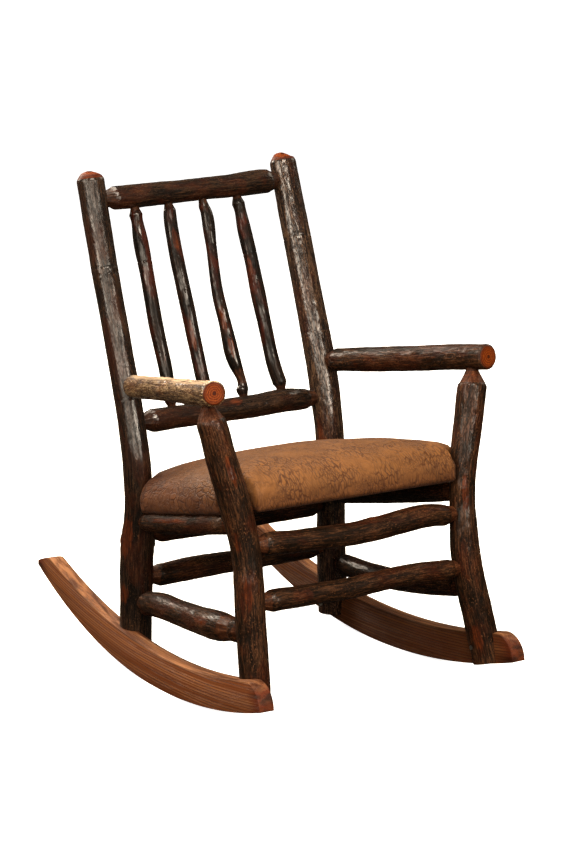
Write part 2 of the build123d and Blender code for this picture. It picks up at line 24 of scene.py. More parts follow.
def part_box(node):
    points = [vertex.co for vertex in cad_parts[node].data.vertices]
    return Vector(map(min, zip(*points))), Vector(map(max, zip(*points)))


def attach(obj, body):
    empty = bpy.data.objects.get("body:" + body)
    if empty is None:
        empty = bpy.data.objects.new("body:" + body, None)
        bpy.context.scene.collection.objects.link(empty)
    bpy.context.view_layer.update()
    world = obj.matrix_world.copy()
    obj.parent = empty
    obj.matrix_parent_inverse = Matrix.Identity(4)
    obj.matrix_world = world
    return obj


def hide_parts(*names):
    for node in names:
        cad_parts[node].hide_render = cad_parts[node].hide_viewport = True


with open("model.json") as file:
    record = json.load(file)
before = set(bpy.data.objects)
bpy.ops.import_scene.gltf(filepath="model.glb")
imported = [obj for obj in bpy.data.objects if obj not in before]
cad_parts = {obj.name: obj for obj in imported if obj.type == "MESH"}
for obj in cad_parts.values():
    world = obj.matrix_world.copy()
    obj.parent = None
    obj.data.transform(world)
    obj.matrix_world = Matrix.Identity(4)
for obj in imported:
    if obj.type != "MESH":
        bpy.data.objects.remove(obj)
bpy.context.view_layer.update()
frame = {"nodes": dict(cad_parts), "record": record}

MM = 0.001

# %% [markdown]
# ## Feeling a pole's shape
#
# A pole could be dressed by roughening the measured surface, but that surface
# is loose triangles of every size. Even rings of even squares take bark far
# better. So each pole's centre line and thickness are felt first: rays are
# shot inwards from all round it, and a circle is fitted to the points that
# they hit. Rays that fall into a drilled socket lie off the circle, and the
# fit drops them.

# %% A circle through felt points
def fit_circle(points):
    """Centre and radius of the best circle, with strays left out."""
    kept = points
    for _ in range(4):
        design = np.c_[2 * kept, np.ones(len(kept))]
        answer = np.linalg.lstsq(design, (kept ** 2).sum(1), rcond=None)[0]
        radius = math.sqrt(max(answer[2] + answer[0] ** 2 + answer[1] ** 2, 1e-9))
        error = np.abs(np.hypot(*(points - answer[:2]).T) - radius)
        limit = max(0.25 * MM, 1.5 * np.median(error))
        kept = points[error <= limit]
    return answer[:2], radius


# %% Sides of a direction
def across(way):
    """Two directions square to a third, turning as little as they can."""
    guide = Vector((0, 0, 1)) if abs(way.z) < 0.8 else Vector((0, -1, 0))
    side = way.cross(guide).normalized()
    return side, side.cross(way).normalized()


# %% Feel one section of a pole
FEELERS = 32
REACH = 0.09


def feel_section(tree, centre, way):
    """The circle that a pole has in the plane through centre, square to way."""
    side, up = across(way)
    points = []
    for k in range(FEELERS):
        angle = math.tau * k / FEELERS
        out = side * math.cos(angle) + up * math.sin(angle)
        hit = tree.ray_cast(centre + out * REACH, -out, REACH)[0]
        if hit is not None:
            gap = hit - centre
            points.append((gap.dot(side), gap.dot(up)))
    if len(points) < 8:
        return None
    middle, radius = fit_circle(np.array(points))
    return centre + side * middle[0] + up * middle[1], radius


# %% Find a pole's two ends
def end_points(corners):
    """Rough middles of a pole's two ends."""
    spans = corners.max(0) - corners.min(0)
    way = np.eye(3)[int(spans.argmax())]
    for _ in range(3):
        reach = corners @ way
        low = corners[reach < reach.min() + 2 * MM].mean(0)
        high = corners[reach > reach.max() - 2 * MM].mean(0)
        way = (high - low) / np.linalg.norm(high - low)
    return Vector(low), Vector(high)


def true_end(corners, inner, outer):
    """Draw the line from inner through outer on, to the pole's end."""
    way = (outer - inner).normalized()
    reach = (corners - np.array(outer)) @ np.array(way)
    beside = np.linalg.norm(corners - np.array(outer) - np.outer(reach, np.array(way)), axis=1)
    return outer + way * float(reach[beside < 40 * MM].max())


# %% Feel a whole pole
STEP = 3.2 * MM
FINE = 1.6 * MM
FINE_REACH = 38 * MM


def ray_tree(mesh):
    """A tree of a mesh's faces, to shoot rays at."""
    return BVHTree.FromPolygons(
        [v.co for v in mesh.vertices], [tuple(p.vertices) for p in mesh.polygons])


def feel_pole(node, skip_low=0.0):
    """(centre, radius) all along a pole, from its lower or right-hand end.

    skip_low is the length at the lower end that is cut away too much to feel.
    Its centre line is drawn on straight from the part above it.
    """
    mesh = frame["nodes"][node].data
    tree = ray_tree(mesh)
    corners = np.unique(np.array([v.co for v in mesh.vertices]).round(6), axis=0)
    low, high = end_points(corners)
    way = (high - low).normalized()
    length = (high - low).length
    count = max(12, round(length / (4 * STEP)))
    first = max(1, math.ceil(count * skip_low / length))
    rough = []
    centre = Vector()
    for k in range(first, count):
        straight = low + (high - low) * (k / count)
        section = feel_section(tree, straight + centre, way)
        if section:
            rough.append(section[0])
            centre = section[0] - straight
    top = true_end(corners, rough[-3], rough[-1])
    foot = true_end(corners, rough[2], rough[0])
    path = [foot] + rough + [top]
    return feel_stations(tree, path, skip_low)


# %% Even stations along a felt path
def walk(path, spacing, fine, fine_reach):
    """Points along a path, nearer together at its ends, with their directions."""
    reach = [0.0]
    for a, b in zip(path, path[1:]):
        reach.append(reach[-1] + (b - a).length)
    total = reach[-1]
    marks = [0.0]
    while marks[-1] < total:
        near_end = min(marks[-1], total - marks[-1]) < fine_reach
        marks.append(marks[-1] + (fine if near_end else spacing))
    marks[-1] = total
    places = []
    for mark in marks:
        k = max(i for i in range(len(path) - 1) if reach[i] <= mark)
        share = (mark - reach[k]) / (reach[k + 1] - reach[k])
        places.append(path[k].lerp(path[k + 1], share))
    return places


def feel_stations(tree, path, skip_low):
    """The circle at each station, felt square to the path."""
    places = walk(path, STEP, FINE, FINE_REACH)
    felt = []
    gone = 0.0
    for k, place in enumerate(places):
        before = places[max(k - 3, 0)]
        after = places[min(k + 3, len(places) - 1)]
        way = (after - before).normalized()
        if k:
            gone += (place - places[k - 1]).length
        nudge = way * (0.3 * MM) * ((k == 0) - (k == len(places) - 1))
        section = feel_section(tree, place + nudge, way) if gone >= skip_low else None
        trusted = section and (section[0] - place).length < 6 * MM
        felt.append((section[0] if trusted else place, section[1] if trusted else None))
    known = [k for k, (_, radius) in enumerate(felt) if radius]
    line = []
    for k, (centre, radius) in enumerate(felt):
        line.append((centre, radius or felt[min(known, key=lambda n: abs(n - k))][1]))
    return line


# %% Smooth the felt line
def ease_line(line, rounds=3):
    """Take the tremble out of a felt line, ends and shoulders kept."""
    centres = np.array([tuple(c) for c, _ in line])
    radii = [r for _, r in line]
    for _ in range(rounds):
        centres[1:-1] = (centres[:-2] + 2 * centres[1:-1] + centres[2:]) / 4
    return [(Vector(c), r) for c, r in zip(centres, radii)]


POSTS = ["rear_post_left", "rear_post_right", "front_post_left", "front_post_right"]
RAILS = [
    "top_rail", "lower_back_rail", "front_upper_stretcher", "front_lower_stretcher",
    "side_stretcher_left", "side_stretcher_right", "rear_stretcher",
    "seat_rail_left", "seat_rail_right", "seat_rail_rear",
]
ARMS = ["arm_left", "arm_right"]
SPINDLES = ["spindle_%d" % (k + 1) for k in range(4)]
FOOT_CUT = 0.125    # the length at a post's foot that the lap has cut away
lines = {}
for name in POSTS + RAILS + ARMS + SPINDLES:
    lines[name] = ease_line(feel_pole(name, FOOT_CUT if name in POSTS else 0.0))
for name, line in lines.items():
    thick = [r * 1000 for _, r in line]
    print(name, len(line), "sections, radius %.1f to %.1f mm" % (min(thick), max(thick)))

# %% [markdown]
# ## Sweeping a pole
#
# A lathe would do for a straight pole, but these bend. So a circle is drawn at
# one end and extruded ring by ring, each ring moved, turned and scaled to its
# own section. The rings at a cut end shrink on the spot, and a last point
# closes them. Every point also keeps where it would lie if the pole were
# straight, because bark and grain run along a pole, however it bends.

# %% Even frames along a line
def turned_frames(line):
    """The turn of each section, without any twist from one to the next."""
    side, _ = across((line[2][0] - line[0][0]).normalized())
    turns = []
    for k in range(len(line)):
        before = line[max(k - 3, 0)][0]
        after = line[min(k + 3, len(line) - 1)][0]
        way = (after - before).normalized()
        side = (side - way * side.dot(way)).normalized()
        turns.append(Matrix((side, way.cross(side), way)).transposed().to_4x4())
    return turns


# %% The rings of a pole
SHOULDER = 36 * MM


def ring_plan(line, low_cap=(), crown=0.0):
    """(matrix, length along, bareness, radius) of every ring.

    low_cap is a list of shares of the end's radius, for the rings on a flat
    cut. crown is the length of a rounded top, which shows end grain all over.
    """
    turns = turned_frames(line)
    lengths = [0.0]
    for (a, _), (b, _) in zip(line, line[1:]):
        lengths.append(lengths[-1] + (b - a).length)
    rings = []
    for k, (centre, radius) in enumerate(line):
        near = [r for (_, r), s in zip(line, lengths) if abs(s - lengths[k]) < SHOULDER]
        bare = min(max((max(near) - radius) / (2.2 * MM) - 0.7, 0.0), 1.0)
        if lengths[-1] - lengths[k] < crown:
            bare = 2.0
        place = Matrix.Translation(centre) @ turns[k] @ Matrix.Diagonal((radius, radius, 1, 1))
        rings.append((place, lengths[k], bare, radius))
    centre, radius = line[0]
    for share in low_cap:
        size = radius * share
        place = Matrix.Translation(centre) @ turns[0] @ Matrix.Diagonal((size, size, 1, 1))
        rings.insert(0, (place, 0.0, 1.0, size))
    return rings


# %% Extrude a pole ring by ring
def sweep(rings, segments):
    """A closed bmesh of a pole, with layers that say how bark and grain run.

    bare is 0 on bark, 1 where a knife has shaved it, and 2 on end grain.
    """
    bm = bmesh.new()
    grain = bm.verts.layers.float_vector.new("grain")
    along = bm.verts.layers.float_vector.new("along")
    bare = bm.verts.layers.float.new("bare")
    ring = bmesh.ops.create_circle(bm, segments=segments, radius=1.0)["verts"]
    edges = list(bm.edges)
    bmesh.ops.transform(bm, matrix=rings[0][0], verts=ring)
    first_edges = edges
    for number, (place, length, shaved, radius) in enumerate(rings):
        if number:
            made = bmesh.ops.extrude_edge_only(bm, edges=edges)["geom"]
            ring = [g for g in made if isinstance(g, bmesh.types.BMVert)]
            fresh = set(ring)
            edges = [
                g for g in made
                if isinstance(g, bmesh.types.BMEdge) and fresh.issuperset(g.verts)
            ]
            bmesh.ops.transform(bm, matrix=place @ rings[number - 1][0].inverted(), verts=ring)
        flat = place.inverted()
        way = place.col[2].xyz
        for v in ring:
            spot = flat @ v.co
            v[grain] = (spot.x * radius, spot.y * radius, length)
            v[along] = way
            v[bare] = shaved
    for loop in (first_edges, edges):
        face = bmesh.ops.edgeloop_fill(bm, edges=loop)["faces"]
        rim = face[0].verts[0]
        seat = (rim[grain].z, rim[along].copy())
        tip = bmesh.ops.poke(bm, faces=face)["verts"][0]
        tip[grain] = (0, 0, seat[0])
        tip[along] = seat[1]
        tip[bare] = 1.0
    bmesh.ops.recalc_face_normals(bm, faces=bm.faces)
    bm.normal_update()
    for v in bm.verts:
        if v[bare] > 0.5:
            facing = min(max(abs(v.normal.dot(v[along])) * 1.6 - 0.6, 0.0), 1.0)
            v[bare] = min(v[bare] + facing, 2.0)
    return bm


# %% [markdown]
# ## Bark
#
# Young bark has three sizes of relief: slow swellings as wide as the pole,
# ridges a few millimetres wide that run along it, and knots where a twig was
# cut. All three are real shape here, so that they show on the outline and in
# the highlights. What is finer than a millimetre is left to the material.

# %% Relief of the bark
def ridge(spot, width, stretch, seed):
    """Noise that is long along the pole, from -1 to 1."""
    where = Vector((spot.x / width, spot.y / width, spot.z / (width * stretch)))
    return noise.noise(where + seed)


def bark_height(spot, seed, roughness):
    """How far the bark stands out at a point of the straightened pole."""
    swelling = ridge(spot, 34 * MM, 1.8, seed)
    ribs = ridge(spot, 9 * MM, 4.0, seed)
    plates = ridge(spot, 4.6 * MM, 3.2, seed * 1.3)
    fissure = 1 - abs(ridge(spot, 6.5 * MM, 4.5, seed * 1.7))
    rough = 0.42 * ribs + 0.42 * plates - 0.75 * fissure ** 6 + 0.15
    return (0.75 * swelling + roughness * rough) * MM


# %% A knot, and a ring left by a season's growth
def knot_height(spot, knots, radius):
    """The swelling round each cut twig: (length, angle in degrees, size, rise)."""
    total = 0.0
    for length, degrees, size, rise in knots:
        beside = math.atan2(spot.y, spot.x) - math.radians(degrees)
        beside = (beside + math.pi) % math.tau - math.pi
        away = math.hypot(beside * radius, (spot.z - length) * 0.7) / size
        if away < 3:
            lump = math.exp(-away * away)
            eye = math.exp(-((away - 0.55) / 0.22) ** 2)
            total += rise * (lump - 0.35 * eye)
    return total


def rubbed_share(spot, patches, radius):
    """1 inside a patch rubbed bare: (length, degrees, half its length, half its width)."""
    share = 0.0
    for length, degrees, tall, wide in patches:
        beside = math.atan2(spot.y, spot.x) - math.radians(degrees)
        beside = ((beside + math.pi) % math.tau - math.pi) * radius
        away = math.hypot(beside / wide, (spot.z - length) / tall)
        share = max(share, min(max(1.6 - away, 0.0), 1.0))
    return share


def ring_height(spot, rings, seed):
    """Narrow grooves round the pole, at the given lengths."""
    total = 0.0
    for length in rings:
        drift = 2.5 * MM * noise.noise(Vector((spot.x, spot.y, 0)) / (14 * MM) + seed)
        away = (spot.z - length - drift) / (1.6 * MM)
        if abs(away) < 3:
            total += 0.7 * MM * (0.55 * math.exp(-((away + 1.3) ** 2)) - math.exp(-away * away))
    return total


# %% Whittled facets
FACETS = 9


def whittle(spot, seed):
    """How far a knife's flats lie inside a shaved end's circle."""
    angle = math.atan2(spot.y, spot.x) + seed.x
    wedge = math.tau / FACETS
    sway = 0.35 * noise.noise(Vector((angle, spot.z * 30, seed.y)))
    beside = (angle + sway) % wedge - wedge / 2
    return math.hypot(spot.x, spot.y) * (math.cos(wedge / 2) / math.cos(beside) - 1)


# %% Put the bark on
def roughen(bm, seed, roughness, knots=(), rings=(), patches=()):
    """Move every point of a pole out or in by its relief, and note the relief."""
    relief = bm.verts.layers.float.new("relief")
    rubbed = bm.verts.layers.float.new("rubbed")
    grain = bm.verts.layers.float_vector["grain"]
    bare = bm.verts.layers.float["bare"]
    moves = []
    for v in bm.verts:
        spot = v[grain]
        on_bark = 1 - min(v[bare], 1.0)
        on_flat = max(v[bare] - 1.0, 0.0)
        radius = math.hypot(spot.x, spot.y)
        height = bark_height(spot, seed, roughness) * (0.25 + 0.75 * on_bark) * (1 - on_flat)
        if on_bark:
            height += (knot_height(spot, knots, radius) + ring_height(spot, rings, seed)) * on_bark
        height += whittle(spot, seed) * (1 - on_bark) * (1 - on_flat)
        moves.append((v, v.normal * height))
        v[relief] = height / MM
        v[rubbed] = rubbed_share(spot, patches, radius)
        v[grain] = (spot.x, spot.y, spot.z + seed.z)
    for v, move in moves:
        v.co += move
    bm.normal_update()


# %% From a bmesh to a piece of the chair
def new_piece(name, bm):
    """An object in the scene from a bmesh, which is used up."""
    mesh = bpy.data.meshes.new(name)
    bm.to_mesh(mesh)
    bm.free()
    piece = bpy.data.objects.new(name, mesh)
    bpy.context.scene.collection.objects.link(piece)
    return piece


def add_piece(bm, name, material, slot, *nodes):
    """Make the object, put it on the chair, and hide the nodes that it stands for."""
    piece = new_piece(name, bm)
    for polygon in piece.data.polygons:
        polygon.use_smooth = True
    piece.data.materials.append(material)
    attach(piece, "root")
    if nodes:
        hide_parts(*nodes)
    return piece


# %% [markdown]
# ## Finishes
#
# A finish is a small web of nodes: a place on the surface goes in, noise
# turns it into streaks and patches, and a ramp turns those into colour. The
# poles share one recipe with different stains, so a small kit keeps the
# wiring short. Noise that is squeezed lengthwise in its coordinates comes out
# as long fibres.

# %% A stain's colour
def stain(colour):
    """A colour as an eye grades it, 0 to 255, made the light that it sends."""
    shares = [channel / 255 for channel in colour]
    return tuple(c / 12.92 if c <= 0.04045 else ((c + 0.055) / 1.055) ** 2.4 for c in shares)


print("a mid brown as light:", [round(c, 3) for c in stain((90, 54, 30))])

# %% A kit for wiring a finish
class Finish:
    """A material whose nodes are added one by one, each fed by the last."""

    def __init__(self, name):
        self.material = bpy.data.materials.new(name)
        self.material.use_nodes = True
        self.tree = self.material.node_tree
        self.shader = self.tree.nodes["Principled BSDF"]

    def add(self, kind, values=None, **settings):
        """A new node. values go to its inputs, by name or by number."""
        made = self.tree.nodes.new("ShaderNode" + kind)
        for key, value in settings.items():
            setattr(made, key, value)
        for key, value in (values or {}).items():
            self.feed(made.inputs[key], value)
        return made

    def feed(self, socket, value):
        """Link a socket, or set it."""
        if isinstance(value, bpy.types.NodeSocket):
            self.tree.links.new(value, socket)
        else:
            socket.default_value = value

    def mark(self, attribute, output="Fac"):
        """A number, or a place, that the mesh keeps at every point."""
        return self.add("Attribute", attribute_name=attribute).outputs[output]

    def place(self):
        """Where a point is, in the object's own space."""
        return self.add("TexCoord").outputs["Object"]

    def squeeze(self, place, x, y, z):
        return self.add("Mapping", {"Vector": place, "Scale": (x, y, z)}).outputs[0]

    def noise(self, place, scale, detail=4.0, rough=0.55, distortion=0.0):
        values = {"Vector": place, "Scale": scale, "Detail": detail}
        values.update({"Roughness": rough, "Distortion": distortion})
        return self.add("TexNoise", values).outputs["Fac"]

    def scaled_noise(self, place, scale, reach):
        """A small push in every direction, to bend straight patterns."""
        values = {"Vector": place, "Scale": scale, "Detail": 3.0}
        colour = self.add("TexNoise", values).outputs["Color"]
        centred = self.add("VectorMath", {0: colour, 1: (0.5, 0.5, 0.5)}, operation="SUBTRACT")
        values = {0: centred.outputs[0], "Scale": 2 * reach}
        return self.add("VectorMath", values, operation="SCALE").outputs[0]

    def cracks(self, place, scale, wide, narrow):
        """1 on the borders between cells, 0 inside them."""
        values = {"Vector": place, "Scale": scale}
        gap = self.add("TexVoronoi", values, feature="DISTANCE_TO_EDGE").outputs[0]
        return self.spread(gap, wide, narrow)

    def paint(self, **values):
        """Feed inputs of the shader, named with _ for a space."""
        for name, value in values.items():
            self.feed(self.shader.inputs[name.replace("_", " ")], value)

    def maths(self, operation, a, b=0.0):
        return self.add("Math", {0: a, 1: b}, operation=operation).outputs[0]

    def plus(self, a, b):
        return self.maths("ADD", a, b)

    def minus(self, a, b):
        return self.maths("SUBTRACT", a, b)

    def times(self, a, b):
        return self.maths("MULTIPLY", a, b)

    def split(self, place):
        """The x, y and z of a place."""
        return self.add("SeparateXYZ", {0: place}).outputs[:]

    def spread(self, value, low, high):
        """A value between low and high, made 0 to 1."""
        values = {"Value": value, "From Min": low, "From Max": high}
        return self.add("MapRange", values, clamp=True).outputs[0]

    def ramp(self, value, *stops):
        """Colours at places along a scale: (place, (r, g, b))."""
        made = self.add("ValToRGB", {0: value})
        steps = made.color_ramp.elements
        while len(steps) < len(stops):
            steps.new(0.5)
        for step, (place, colour) in zip(steps, stops):
            step.position = place
            step.color = (*stain(colour), 1)
        return made.outputs[0]

    def blend(self, share, a, b, mode="MIX"):
        values = {0: share}
        for number, colour in ((6, a), (7, b)):
            plain = isinstance(colour, tuple)
            values[number] = (*stain(colour), 1) if plain else colour
        made = self.add("Mix", values, data_type="RGBA", blend_type=mode)
        return made.outputs[2]

    def bump(self, height, distance, strength):
        values = {"Height": height, "Distance": distance, "Strength": strength}
        return self.add("Bump", values).outputs[0]


# %% [markdown]
# ### Bark and shaved wood
#
# The bark is stained and lacquered, so it is dark and dull in the cracks, and
# lighter and shiny on the ridges. Where a knife has shaved it, the wood below is
# orange-brown, with straight fibres on the side and rings on a cut end. The
# relief that the shape already has is read back from the mesh, so that colour
# and shape agree.

# %% Wood under the bark: shaved flats, and rings on a cut end
def from_pith(f, grain):
    """How far a point is from the middle of the pole, with a little wander."""
    x, y, _ = f.split(grain)
    square = f.plus(f.maths("POWER", x, 2), f.maths("POWER", y, 2))
    wander = f.minus(f.noise(grain, 60, 3), 0.5)
    return f.plus(f.maths("SQRT", square), f.times(wander, 0.007))


def shaved_wood(f, radius, fibre, streak, dark, mid, light):
    """Stained wood where a knife has been: long fibres, and seasons cut across."""
    wood = f.ramp(fibre, (0.30, dark), (0.5, mid), (0.74, light))
    deeper = f.ramp(streak, (0.38, (150, 140, 132)), (0.62, (255, 252, 248)))
    wood = f.blend(0.8, wood, deeper, "MULTIPLY")
    season = f.spread(f.maths("SINE", f.times(radius, 4200)), 0.0, 0.9)
    return f.blend(f.times(season, 0.55), wood, dark)


def end_grain(f, radius, fibre):
    """Season rings round a dark pith, darker again at the rim."""
    season = f.times(f.maths("SINE", f.times(radius, 1500)), 0.16)
    season = f.plus(season, f.times(fibre, 0.9))
    cut = f.ramp(season, (0.2, (54, 19, 4)), (0.45, (90, 36, 7)), (0.75, (120, 57, 14)))
    pith = f.times(f.spread(radius, 0.0050, 0.0022), 0.85)
    cut = f.blend(pith, cut, (24, 8, 3))
    return f.blend(f.times(f.spread(radius, 0.015, 0.021), 0.7), cut, (44, 15, 6))


# %% Bark with shaved ends, in a given stain
def bark_finish(
        name, deep, mid, light, red, scuffs, gloss, crackle=1.0, pale=0.0, painted_glints=0.4, haze=0.15,
        streaky=0.0, painted_top_highlight=0.0):
    """deep, mid, light and red are stains. scuffs is the share rubbed bare.

    pale is how much lighter than the bark the whittled ends are. painted_glints
    is how strongly painted highlights show as pale specks on the bark's ridges,
    haze is how dull the lacquer is, and streaky is how far it shines in long
    streaks only. painted_top_highlight is how strongly a painted highlight
    lightens the upper side of a level pole.
    """
    f = Finish(name)
    pale_painted_glint = tuple(min(round(c * 1.7 + 8), 255) for c in light)
    grain = f.mark("grain", "Vector")
    relief = f.mark("relief")
    bare = f.mark("bare")
    rubbed = f.mark("rubbed")

    fibre = f.noise(f.squeeze(grain, 1, 1, 0.08), 330, 3, 0.7)
    streak = f.noise(f.squeeze(grain, 1, 1, 0.14), 110, 5, 0.6)
    patch = f.noise(f.squeeze(grain, 1, 1, 0.45), 24, 3, 0.55, 0.6)
    web = f.noise(f.squeeze(grain, 1, 1, 0.26), 225, 2, 0.6, 0.5)
    plate = f.spread(f.maths("ABSOLUTE", f.minus(web, 0.5)), 0.012, 0.10)
    tone = f.plus(f.times(fibre, 0.8), f.times(streak, 0.2))
    worn = f.minus(f.spread(relief, -1.2, 1.2), 0.5)
    tone = f.plus(tone, f.times(worn, 0.25))
    bark = f.ramp(tone, (0.42, deep), (0.50, mid), (0.58, light))
    redness = f.times(f.spread(patch, 0.50, 0.62), 0.5)
    bark = f.blend(redness, bark, f.blend(0.6, bark, red))
    crack = f.times(f.minus(1.0, plate), crackle)
    bark = f.blend(f.times(crack, 0.85), bark, deep)
    # Painted highlights: pale specks where the bark's ridges would catch the lamps' light, gathered
    # in drifts.
    glint_specks = f.noise(f.squeeze(grain, 1, 1, 0.5), 430, 2, 0.6)
    glint_patches = f.spread(f.noise(f.squeeze(grain, 1, 1, 0.6), 40, 3, 0.6), 0.42, 0.56)
    painted_glint = f.times(f.spread(glint_specks, 0.60, 0.67), glint_patches)
    bark = f.blend(f.times(painted_glint, painted_glints), bark, pale_painted_glint)
    # Painted highlight: the upper side of a level pole is lightened, as light from above would make
    # it.
    upper = f.spread(f.split(grain)[1], -0.0175, -0.0225)
    upper = f.times(upper, f.spread(tone, 0.36, 0.50))
    bark = f.blend(f.times(upper, painted_top_highlight), bark, (206, 180, 148))

    speck = f.noise(f.squeeze(grain, 1, 1, 0.30), 46, 5, 0.7, 0.4)
    edge = f.plus(speck, f.times(f.minus(fibre, 0.5), 0.4))
    level = 0.78 - 0.22 * scuffs
    scuffed = f.times(f.spread(edge, level, level + 0.06), f.spread(patch, 0.46, 0.56))
    ragged = f.plus(rubbed, f.times(f.minus(edge, 0.5), 2.4))
    scuffed = f.maths("MAXIMUM", scuffed, f.spread(ragged, 0.45, 0.75))

    radius = from_pith(f, grain)
    stained = shaved_wood(f, radius, fibre, streak, (26, 13, 7), (46, 26, 15), (80, 50, 33))
    raw = shaved_wood(f, radius, fibre, streak, (44, 22, 12), (76, 42, 24), (118, 76, 48))
    wood = f.blend(pale, stained, raw)
    worn_wood = shaved_wood(f, radius, fibre, streak, (36, 14, 4), (70, 29, 9), (100, 49, 18))
    cut = end_grain(f, radius, fibre)
    shaved = f.plus(bare, f.times(f.minus(streak, 0.5), 1.1))
    colour = f.blend(f.times(scuffed, 0.85), bark, worn_wood)
    colour = f.blend(f.spread(shaved, 0.45, 0.7), colour, wood)
    colour = f.blend(f.spread(bare, 1.12, 1.5), colour, cut)

    shine = f.times(f.minus(1.0, f.times(crack, 0.95)), gloss)
    shine = f.times(shine, f.spread(bare, 1.15, 0.15))
    dull = f.times(f.spread(streak, 0.58, 0.47), streaky)
    shine = f.times(shine, f.minus(1.0, dull))
    on_bark = f.spread(bare, 0.9, 0.4)
    ridges = f.times(f.plus(plate, web), on_bark)
    height = f.plus(fibre, f.times(ridges, crackle))
    f.paint(
        Base_Color=colour, Roughness=f.plus(f.times(crack, 0.3), 0.42), Specular_IOR_Level=0.07,
        Coat_Weight=shine, Coat_Roughness=haze, Coat_IOR=1.65,
        Normal=f.bump(height, 0.0006, 0.7), Coat_Normal=f.bump(f.plus(fibre, web), 0.0005, 0.5))
    return f.material


# %% Five stains of bark
dark_bark = bark_finish(
    "dark_bark", (7, 3, 1), (21, 11, 5), (46, 30, 18), (60, 22, 7), 0.12, 0.9, 0.6, streaky=0.45)
ridged_bark = bark_finish(
    "ridged_bark", (9, 4, 2), (34, 20, 11), (74, 54, 38), (60, 22, 7), 0.12, 1.0, 0.9)
brown_bark = bark_finish(
    "brown_bark", (12, 6, 2), (32, 17, 8), (62, 39, 23), (70, 26, 8), 0.25, 0.18, 0.8,
    pale=0.6, painted_glints=0.45)
grey_bark = bark_finish(
    "grey_bark", (40, 26, 15), (90, 66, 42), (142, 118, 86), (104, 60, 30), 0.3, 0.9, 0.8,
    pale=0.4, painted_top_highlight=0.8)
spindle_bark = bark_finish(
    "spindle_bark", (4, 2, 1), (12, 6, 3), (30, 17, 9), (84, 26, 6), 0.15, 0.75, 0.6,
    painted_glints=0.2, haze=0.06, streaky=0.9)
barks = (dark_bark, ridged_bark, brown_bark, grey_bark, spindle_bark)
print("bark finishes:", [bark.name for bark in barks])

# %% [markdown]
# ## The poles, one after another
#
# Each pole gets its own seed, so that no two look alike, and its own knots
# and rings. Arms are sawn off square in front, with the edge cut back; the
# posts' tops are rounded. The ends of rails and spindles run on into their
# sockets, out of sight.

# %% Knots, by pole
# knots: (length along, degrees round the pole, size, rise), in metres
KNOTS = {
    "rear_post_left": [(0.40, 190, 12 * MM, 2.0 * MM), (0.36, 30, 12 * MM, 1.8 * MM)],
    "rear_post_right": [
        (0.25, 150, 15 * MM, 3.0 * MM), (0.246, 325, 13 * MM, 3.2 * MM),
        (0.15, 185, 9 * MM, 1.6 * MM), (0.79, 215, 8 * MM, 1.2 * MM)],
    "front_post_left": [(0.37, 235, 9 * MM, 1.6 * MM), (0.24, 300, 9 * MM, 1.4 * MM)],
    "front_post_right": [
        (0.262, 216, 8 * MM, 1.6 * MM), (0.182, 222, 8 * MM, 1.4 * MM),
        (0.515, 268, 8 * MM, 1.6 * MM), (0.46, 256, 9 * MM, 1.5 * MM),
        (0.34, 300, 8 * MM, 1.5 * MM)],
    "top_rail": [(0.20, 342, 7 * MM, 1.0 * MM)],
    "lower_back_rail": [(0.33, 350, 9 * MM, 1.4 * MM)],
    "side_stretcher_right": [(0.14, 200, 12 * MM, 2.0 * MM), (0.30, 170, 9 * MM, 1.4 * MM)],
    "seat_rail_right": [(0.05, 170, 11 * MM, 2.6 * MM)],
    "front_upper_stretcher": [(0.281, 265, 10 * MM, 1.8 * MM), (0.342, 303, 9 * MM, 1.6 * MM)],
    "front_lower_stretcher": [(0.16, 330, 8 * MM, 1.4 * MM)],
    "arm_left": [(0.19, 200, 8 * MM, 1.2 * MM)],
    "spindle_1": [(0.30, 230, 6 * MM, 1.0 * MM)],
    "spindle_2": [(0.233, 219, 7 * MM, 1.8 * MM)],
    "spindle_3": [(0.192, 237, 7 * MM, 2.0 * MM), (0.157, 216, 7 * MM, 1.8 * MM)],
    "spindle_4": [(0.256, 219, 7 * MM, 2.0 * MM), (0.224, 213, 6 * MM, 1.6 * MM)],
}

# %% Rubbed patches and growth rings, by pole
# patches: (length along, degrees round, half the length, half the width), in metres
RUBBED = {
    "rear_post_left": [(0.38, 200, 50 * MM, 12 * MM)],
    "rear_post_right": [(0.265, 190, 42 * MM, 15 * MM), (0.145, 185, 20 * MM, 12 * MM)],
    "front_post_left": [(0.08, 215, 24 * MM, 10 * MM), (0.36, 250, 40 * MM, 6 * MM)],
    "front_post_right": [
        (0.235, 236, 34 * MM, 7 * MM), (0.34, 212, 22 * MM, 6 * MM), (0.48, 262, 26 * MM, 7 * MM)],
    "lower_back_rail": [(0.233, 312, 15 * MM, 10 * MM)],
    "side_stretcher_right": [(0.14, 205, 26 * MM, 7 * MM)],
    "seat_rail_right": [(0.25, 200, 60 * MM, 5 * MM)],
    "front_upper_stretcher": [(0.30, 275, 26 * MM, 6 * MM)],
    "spindle_2": [(0.345, 255, 26 * MM, 5 * MM), (0.15, 235, 34 * MM, 4 * MM)],
    "spindle_3": [(0.175, 228, 24 * MM, 7 * MM), (0.12, 250, 18 * MM, 5 * MM)],
    "spindle_4": [(0.27, 214, 18 * MM, 5 * MM)],
}
GROWTH_RINGS = {
    "rear_post_left": [0.62, 0.82],
    "rear_post_right": [0.534, 0.552, 0.785, 0.80],
    "arm_right": [0.21],
    "spindle_1": [0.12, 0.31],
    "spindle_2": [0.21],
    "spindle_3": [0.10, 0.18, 0.33],
    "spindle_4": [0.16, 0.30],
}

